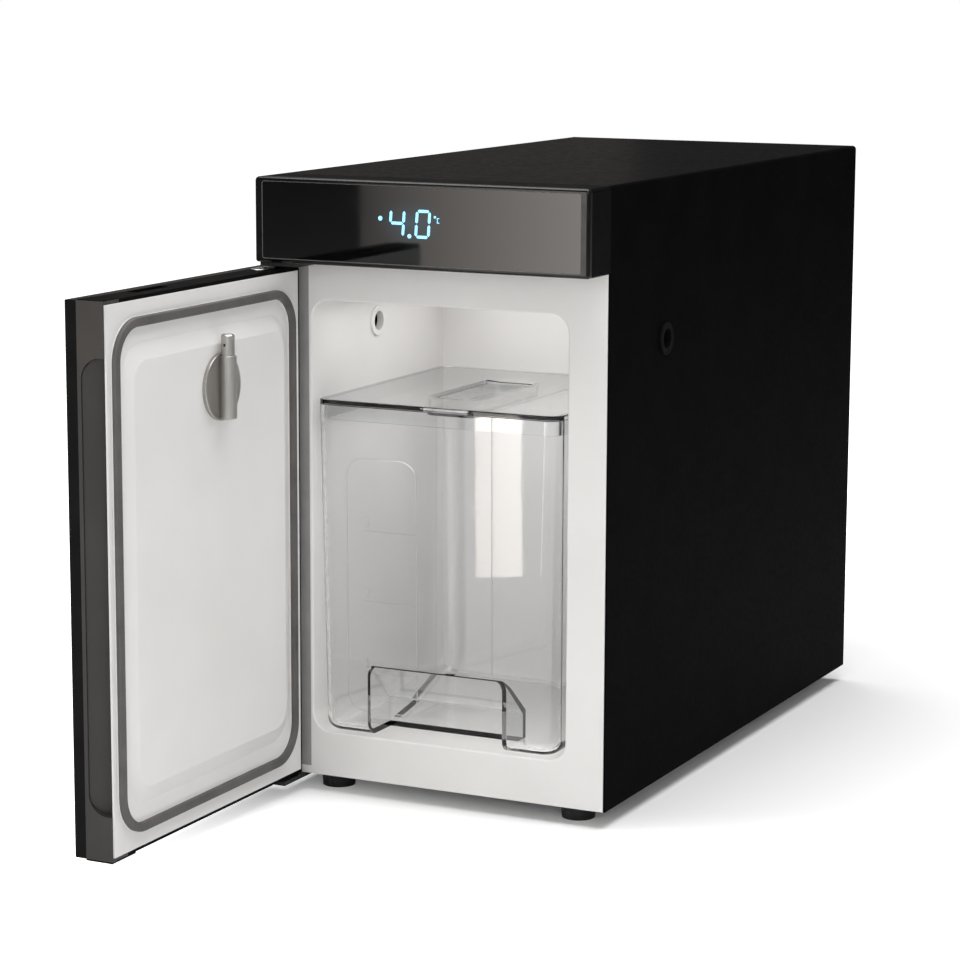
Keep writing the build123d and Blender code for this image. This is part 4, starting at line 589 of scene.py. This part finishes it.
def rounded_ring(u, v, radius):
    """Points round a rounded rectangle, given by its spans, and closed on its first point."""
    corners = ((u[1] - radius, v[1] - radius), (u[0] + radius, v[1] - radius),
               (u[0] + radius, v[0] + radius), (u[1] - radius, v[0] + radius))
    ring = []
    for quarter, centre in enumerate(corners):
        for i in range(CORNER_STEPS + 1):
            a = pi / 2 * (quarter + i / CORNER_STEPS)
            ring.append((centre[0] + radius * cos(a), centre[1] + radius * sin(a)))
    return ring + ring[:1]


def numeral(letter, x, z):
    """A plain numeral as lines of points on the front wall."""
    return [[front_wall(x + u * NUMERAL_WIDTH, z + v * NUMERAL_HEIGHT) for u, v in line]
            for line in NUMERALS[letter]]


def container_marks():
    """The scale with its panel, and the rib that runs down the container's front and over its lid."""
    lines = []
    for number, z in zip(TICK_NUMBERS, TICK_HEIGHTS):
        lines.append([front_wall(x, z) for x in TICK_X])
        lines += numeral(number, TICK_X[0], z + NUMERAL_RISE)
    lines.append([front_wall(x, z) for x, z in rounded_ring(PANEL_X, PANEL_Z, PANEL_CORNER)])
    bead("container_scale", lines, MARK_RADIUS, CLEAR, "container")
    seam = [front_wall(SEAM_X, z) for z in (TUB_HIGH.z, SEAM_LOW)]
    bead("container_seam", [seam], SEAM_RADIUS, CLEAR, "container")
    top = LID_HIGH.z - SEAM_RADIUS / 2
    lid_line = [Vector((SEAM_X, y, top)) for y in (LID_LOW.y + LID_SEAM_INSET, LID_HIGH.y - LID_SEAM_INSET)]
    bead("lid_seam", [lid_line], SEAM_RADIUS, CLEAR, "lid")


# Trim and screws

def glass_edge_highlight_trim():
    # A round bead at the glass's edge, whose lighter grey is partly a painted highlight.
    edge = rounded_ring((GLASS_LOW.x, GLASS_HIGH.x), (GLASS_LOW.z, GLASS_HIGH.z), TRIM_CORNER)
    line = [Vector((x, GLASS_LOW.y, z)) for x, z in edge]
    bead("glass_edge_highlight_trim", [line], TRIM_RADIUS, EDGE_HIGHLIGHT_TRIM, "cabinet")


def slab(bm, outline, height):
    """A plate with a bevelled rim on top of the door. The outline is given for each inset."""
    top = DOOR_CAP_TOP + height
    levels = ((0.0, DOOR_CAP_TOP), (0.0, top - PLATE_BEVEL), (PLATE_BEVEL, top))
    rings = [[bm.verts.new((x, y, z)) for x, y in outline(inset)] for inset, z in levels]
    for low, high in zip(rings, rings[1:]):
        for i in range(len(low)):
            j = (i + 1) % len(low)
            bm.faces.new((low[i], low[j], high[j], high[i]))
    bm.faces.new(rings[0][::-1])
    bm.faces.new(rings[-1])


def plate_outline(inset):
    """The hinge plate's outline, long in Y with round ends."""
    radius = PLATE_RADIUS - inset
    points = []
    for side in (1, -1):
        for i in range(OVAL_STEPS + 1):
            a = pi * i / OVAL_STEPS
            points.append((PLATE_PLACE[0] + side * radius * cos(a),
                           PLATE_PLACE[1] + side * (PLATE_HALF_LENGTH + radius * sin(a))))
    return points


def grip_end_outline(inset):
    """The outline of the grip profile's upper end."""
    x = (GRIP_LOW.x + inset, GRIP_HIGH.x - inset)
    y = (GRIP_LOW.y + inset, GRIP_HIGH.y - inset)
    return rounded_ring(x, y, END_CAP_CORNER - inset)[:-1]


def crossed_head(bm, place, radius, height):
    """A domed screw head with a cross recess, standing up from a place."""
    centre = bm.verts.new(place + Vector((0.0, 0.0, height - CROSS_DEPTH)))
    last = None
    for ring in range(1, HEAD_RINGS + 1):
        share = ring / HEAD_RINGS
        verts = []
        for step in range(HEAD_STEPS):
            a = 2 * pi * step / HEAD_STEPS
            x, y = radius * share * cos(a), radius * share * sin(a)
            z = height * (1.0 - share ** HEAD_DOME_POWER)
            near, far = sorted((abs(x), abs(y)))
            if near < CROSS_HALF_WIDTH and far < CROSS_REACH:
                z -= CROSS_DEPTH
            verts.append(bm.verts.new(place + Vector((x, y, z))))
        for i in range(HEAD_STEPS):
            j = (i + 1) % HEAD_STEPS
            if last is None:
                bm.faces.new((centre, verts[i], verts[j]))
            else:
                bm.faces.new((last[i], verts[i], verts[j], last[j]))
        last = verts
    bm.faces.new(last[::-1])


def hinge_plate():
    bm = bmesh.new()
    slab(bm, plate_outline, PLATE_HEIGHT)
    screw_place = Vector((*PLATE_PLACE, DOOR_CAP_TOP + PLATE_HEIGHT))
    crossed_head(bm, screw_place, PLATE_SCREW_RADIUS, PLATE_SCREW_HEIGHT)
    solid_piece("hinge_plate", bm, BRIGHT_STEEL, "door")


def grip_end_cap():
    bm = bmesh.new()
    slab(bm, grip_end_outline, END_CAP_HEIGHT)
    solid_piece("grip_end_cap", bm, BLACK_PLASTIC, "door")


def head_places(node):
    """The middle of each screw head's rear face."""
    points = [node.matrix_world @ vertex.co for vertex in node.data.vertices]
    rear = max(point.y for point in points)
    heads = []
    for point in points:
        if point.y > rear - HEAD_FACE_DEPTH:
            near = [head for head in heads if (head[0] - point).length < HEAD_REACH]
            if near:
                near[0].append(point)
            else:
                heads.append([point])
    for head in heads:
        x = [point.x for point in head]
        z = [point.z for point in head]
        yield (min(x) + max(x)) / 2, rear, (min(z) + max(z)) / 2


def cross_outline():
    """A cross, made of one arm turned through four quarters."""
    w, r = REAR_CROSS_HALF_WIDTH, REAR_CROSS_REACH
    arm = [(w, w), (w, r), (-w, r)]
    outline = []
    for quarter in range(4):
        outline += arm
        arm = [(-v, u) for u, v in arm]
    return outline


def rear_shade_crosses():
    """Thin dark crosses laid on the rear screws' heads: painted shade of cross recesses."""
    bm = bmesh.new()
    for x, y, z in head_places(NODES["rear_screws"]):
        outline = [(x + u, z + v) for u, v in cross_outline()]
        prism(bm, outline, (y - REAR_CROSS_PROUD, y + REAR_CROSS_PROUD))
    solid_piece("rear_screw_shade_crosses", bm, BLACK_STEEL, "cabinet")


# Stage, light and camera

def floor():
    """A pale floor that fades to plain white away from the object."""
    bm = bmesh.new()
    bmesh.ops.create_circle(bm, cap_ends=True, segments=FLOOR_SIDES, radius=FLOOR_RADIUS)
    mesh = new_mesh("floor", bm)
    obj = new_object("floor", mesh)
    s = Surface("pale_floor", FLOOR_ROUGHNESS, Specular_IOR_Level=FLOOR_SPECULAR)
    s.colour(*FLOOR_COLOURS, s.noise(FLOOR_TONE))
    away = s.nodes.new("ShaderNodeVectorMath")
    away.operation = "DISTANCE"
    away.inputs[1].default_value = FLOOR_CENTRE
    s.links.new(s.place, away.inputs[0])
    fade = s.nodes.new("ShaderNodeMapRange")
    fade.interpolation_type = "SMOOTHSTEP"
    fade.inputs["From Min"].default_value = FLOOR_FADE[0]
    fade.inputs["From Max"].default_value = FLOOR_FADE[1]
    s.links.new(away.outputs["Value"], fade.inputs["Value"])
    path = s.nodes.new("ShaderNodeLightPath")
    seen = s.nodes.new("ShaderNodeMath")
    seen.operation = "MULTIPLY"
    s.links.new(fade.outputs["Result"], seen.inputs[0])
    s.links.new(path.outputs["Is Camera Ray"], seen.inputs[1])
    s.shader.inputs["Emission Color"].default_value = FULL_WHITE
    s.links.new(seen.outputs["Value"], s.shader.inputs["Emission Strength"])
    mesh.materials.append(s.material)


def studio_card(name, start, across, span, heights, light):
    """An upright card that only reflections show, graded from one end to the other."""
    bm = bmesh.new()
    corners = [start + across * u + Vector((0.0, 0.0, z)) for u, z in rectangle(span, heights)]
    bm.faces.new([bm.verts.new(corner) for corner in corners])
    mesh = new_mesh(name, bm)
    obj = new_object(name, mesh)
    s = Surface(name, 1.0, Specular_IOR_Level=0.0)
    s.shader.inputs["Base Color"].default_value = FULL_BLACK
    dot = s.nodes.new("ShaderNodeVectorMath")
    dot.operation = "DOT_PRODUCT"
    dot.inputs[1].default_value = across
    s.links.new(s.place, dot.inputs[0])
    grade = s.nodes.new("ShaderNodeMapRange")
    offset = start.dot(across)
    grade.inputs["From Min"].default_value = span[0] + offset
    grade.inputs["From Max"].default_value = span[1] + offset
    grade.inputs["To Min"].default_value = light[0]
    grade.inputs["To Max"].default_value = light[1]
    s.links.new(dot.outputs["Value"], grade.inputs["Value"])
    s.shader.inputs["Emission Color"].default_value = CARD_COLOUR
    s.links.new(grade.outputs["Result"], s.shader.inputs["Emission Strength"])
    mesh.materials.append(s.material)
    obj.visible_camera = False
    obj.visible_shadow = False
    obj.visible_diffuse = False


def studio_cards():
    """Cards to the front left for the glass and the container, and one behind for the casing's top."""
    a = CARD_AZIMUTH
    across = Vector((cos(a), -sin(a), 0.0))
    start = Vector((0.0, GLASS_LOW.y, 0.0)) + Vector((-sin(a), -cos(a), 0.0)) * CARD_DISTANCE
    studio_card("glass_card", start, across, *GLASS_CARD)
    studio_card("container_card", start, across, *CONTAINER_CARD)
    studio_card("top_card", Vector((0.0, TOP_CARD_Y, 0.0)), Vector((1.0, 0.0, 0.0)), *TOP_CARD)


def area_light(name, place, target, size, power):
    light = bpy.data.lights.new(name, "AREA")
    light.shape = "RECTANGLE"
    light.size, light.size_y = size
    light.energy = power
    obj = new_object(name, light)
    obj.location = place
    aim = Vector(target) - Vector(place)
    obj.rotation_euler = aim.to_track_quat("-Z", "Y").to_euler()
    obj.visible_camera = False


def world():
    """A white background that lights the object little, and shows through the clear pieces."""
    sky = bpy.data.worlds.new("studio")
    bpy.context.scene.world = sky
    sky.use_nodes = True
    nodes, links = sky.node_tree.nodes, sky.node_tree.links
    background = nodes["Background"]
    background.inputs["Color"].default_value = FULL_WHITE
    path = nodes.new("ShaderNodeLightPath")
    spread = nodes.new("ShaderNodeMapRange")
    spread.inputs["To Min"].default_value = WORLD_LIGHT
    spread.inputs["To Max"].default_value = 1.0
    seen = nodes.new("ShaderNodeMath")
    seen.operation = "MULTIPLY_ADD"
    seen.inputs[1].default_value = WORLD_THROUGH
    links.new(path.outputs["Is Transmission Ray"], seen.inputs[0])
    links.new(path.outputs["Is Camera Ray"], seen.inputs[2])
    links.new(seen.outputs["Value"], spread.inputs["Value"])
    links.new(spread.outputs["Result"], background.inputs["Strength"])


def camera():
    """The camera at the photograph's place, turned by its azimuth, elevation and roll."""
    data = bpy.data.cameras.new("camera")
    data.lens = CAMERA_LENS
    data.sensor_width = CAMERA_SENSOR
    obj = new_object("camera", data)
    a, e, r = CAMERA_AZIMUTH, CAMERA_ELEVATION, CAMERA_ROLL
    back = Vector((sin(a) * cos(e), -cos(a) * cos(e), sin(e)))
    right = Vector((cos(a), sin(a), 0.0))
    up = back.cross(right)
    across = right * cos(r) + up * sin(r)
    upward = up * cos(r) - right * sin(r)
    turn = Matrix((across, upward, back)).transposed()
    obj.matrix_world = Matrix.Translation(CAMERA_PLACE) @ turn.to_4x4()
    bpy.context.scene.camera = obj


finish_nodes()
display_digits()
container_marks()
glass_edge_highlight_trim()
hinge_plate()
grip_end_cap()
rear_shade_crosses()
floor()
studio_cards()
world()
camera()
for light in LIGHTS:
    area_light(*light)
bpy.context.scene.view_settings.view_transform = "Standard"
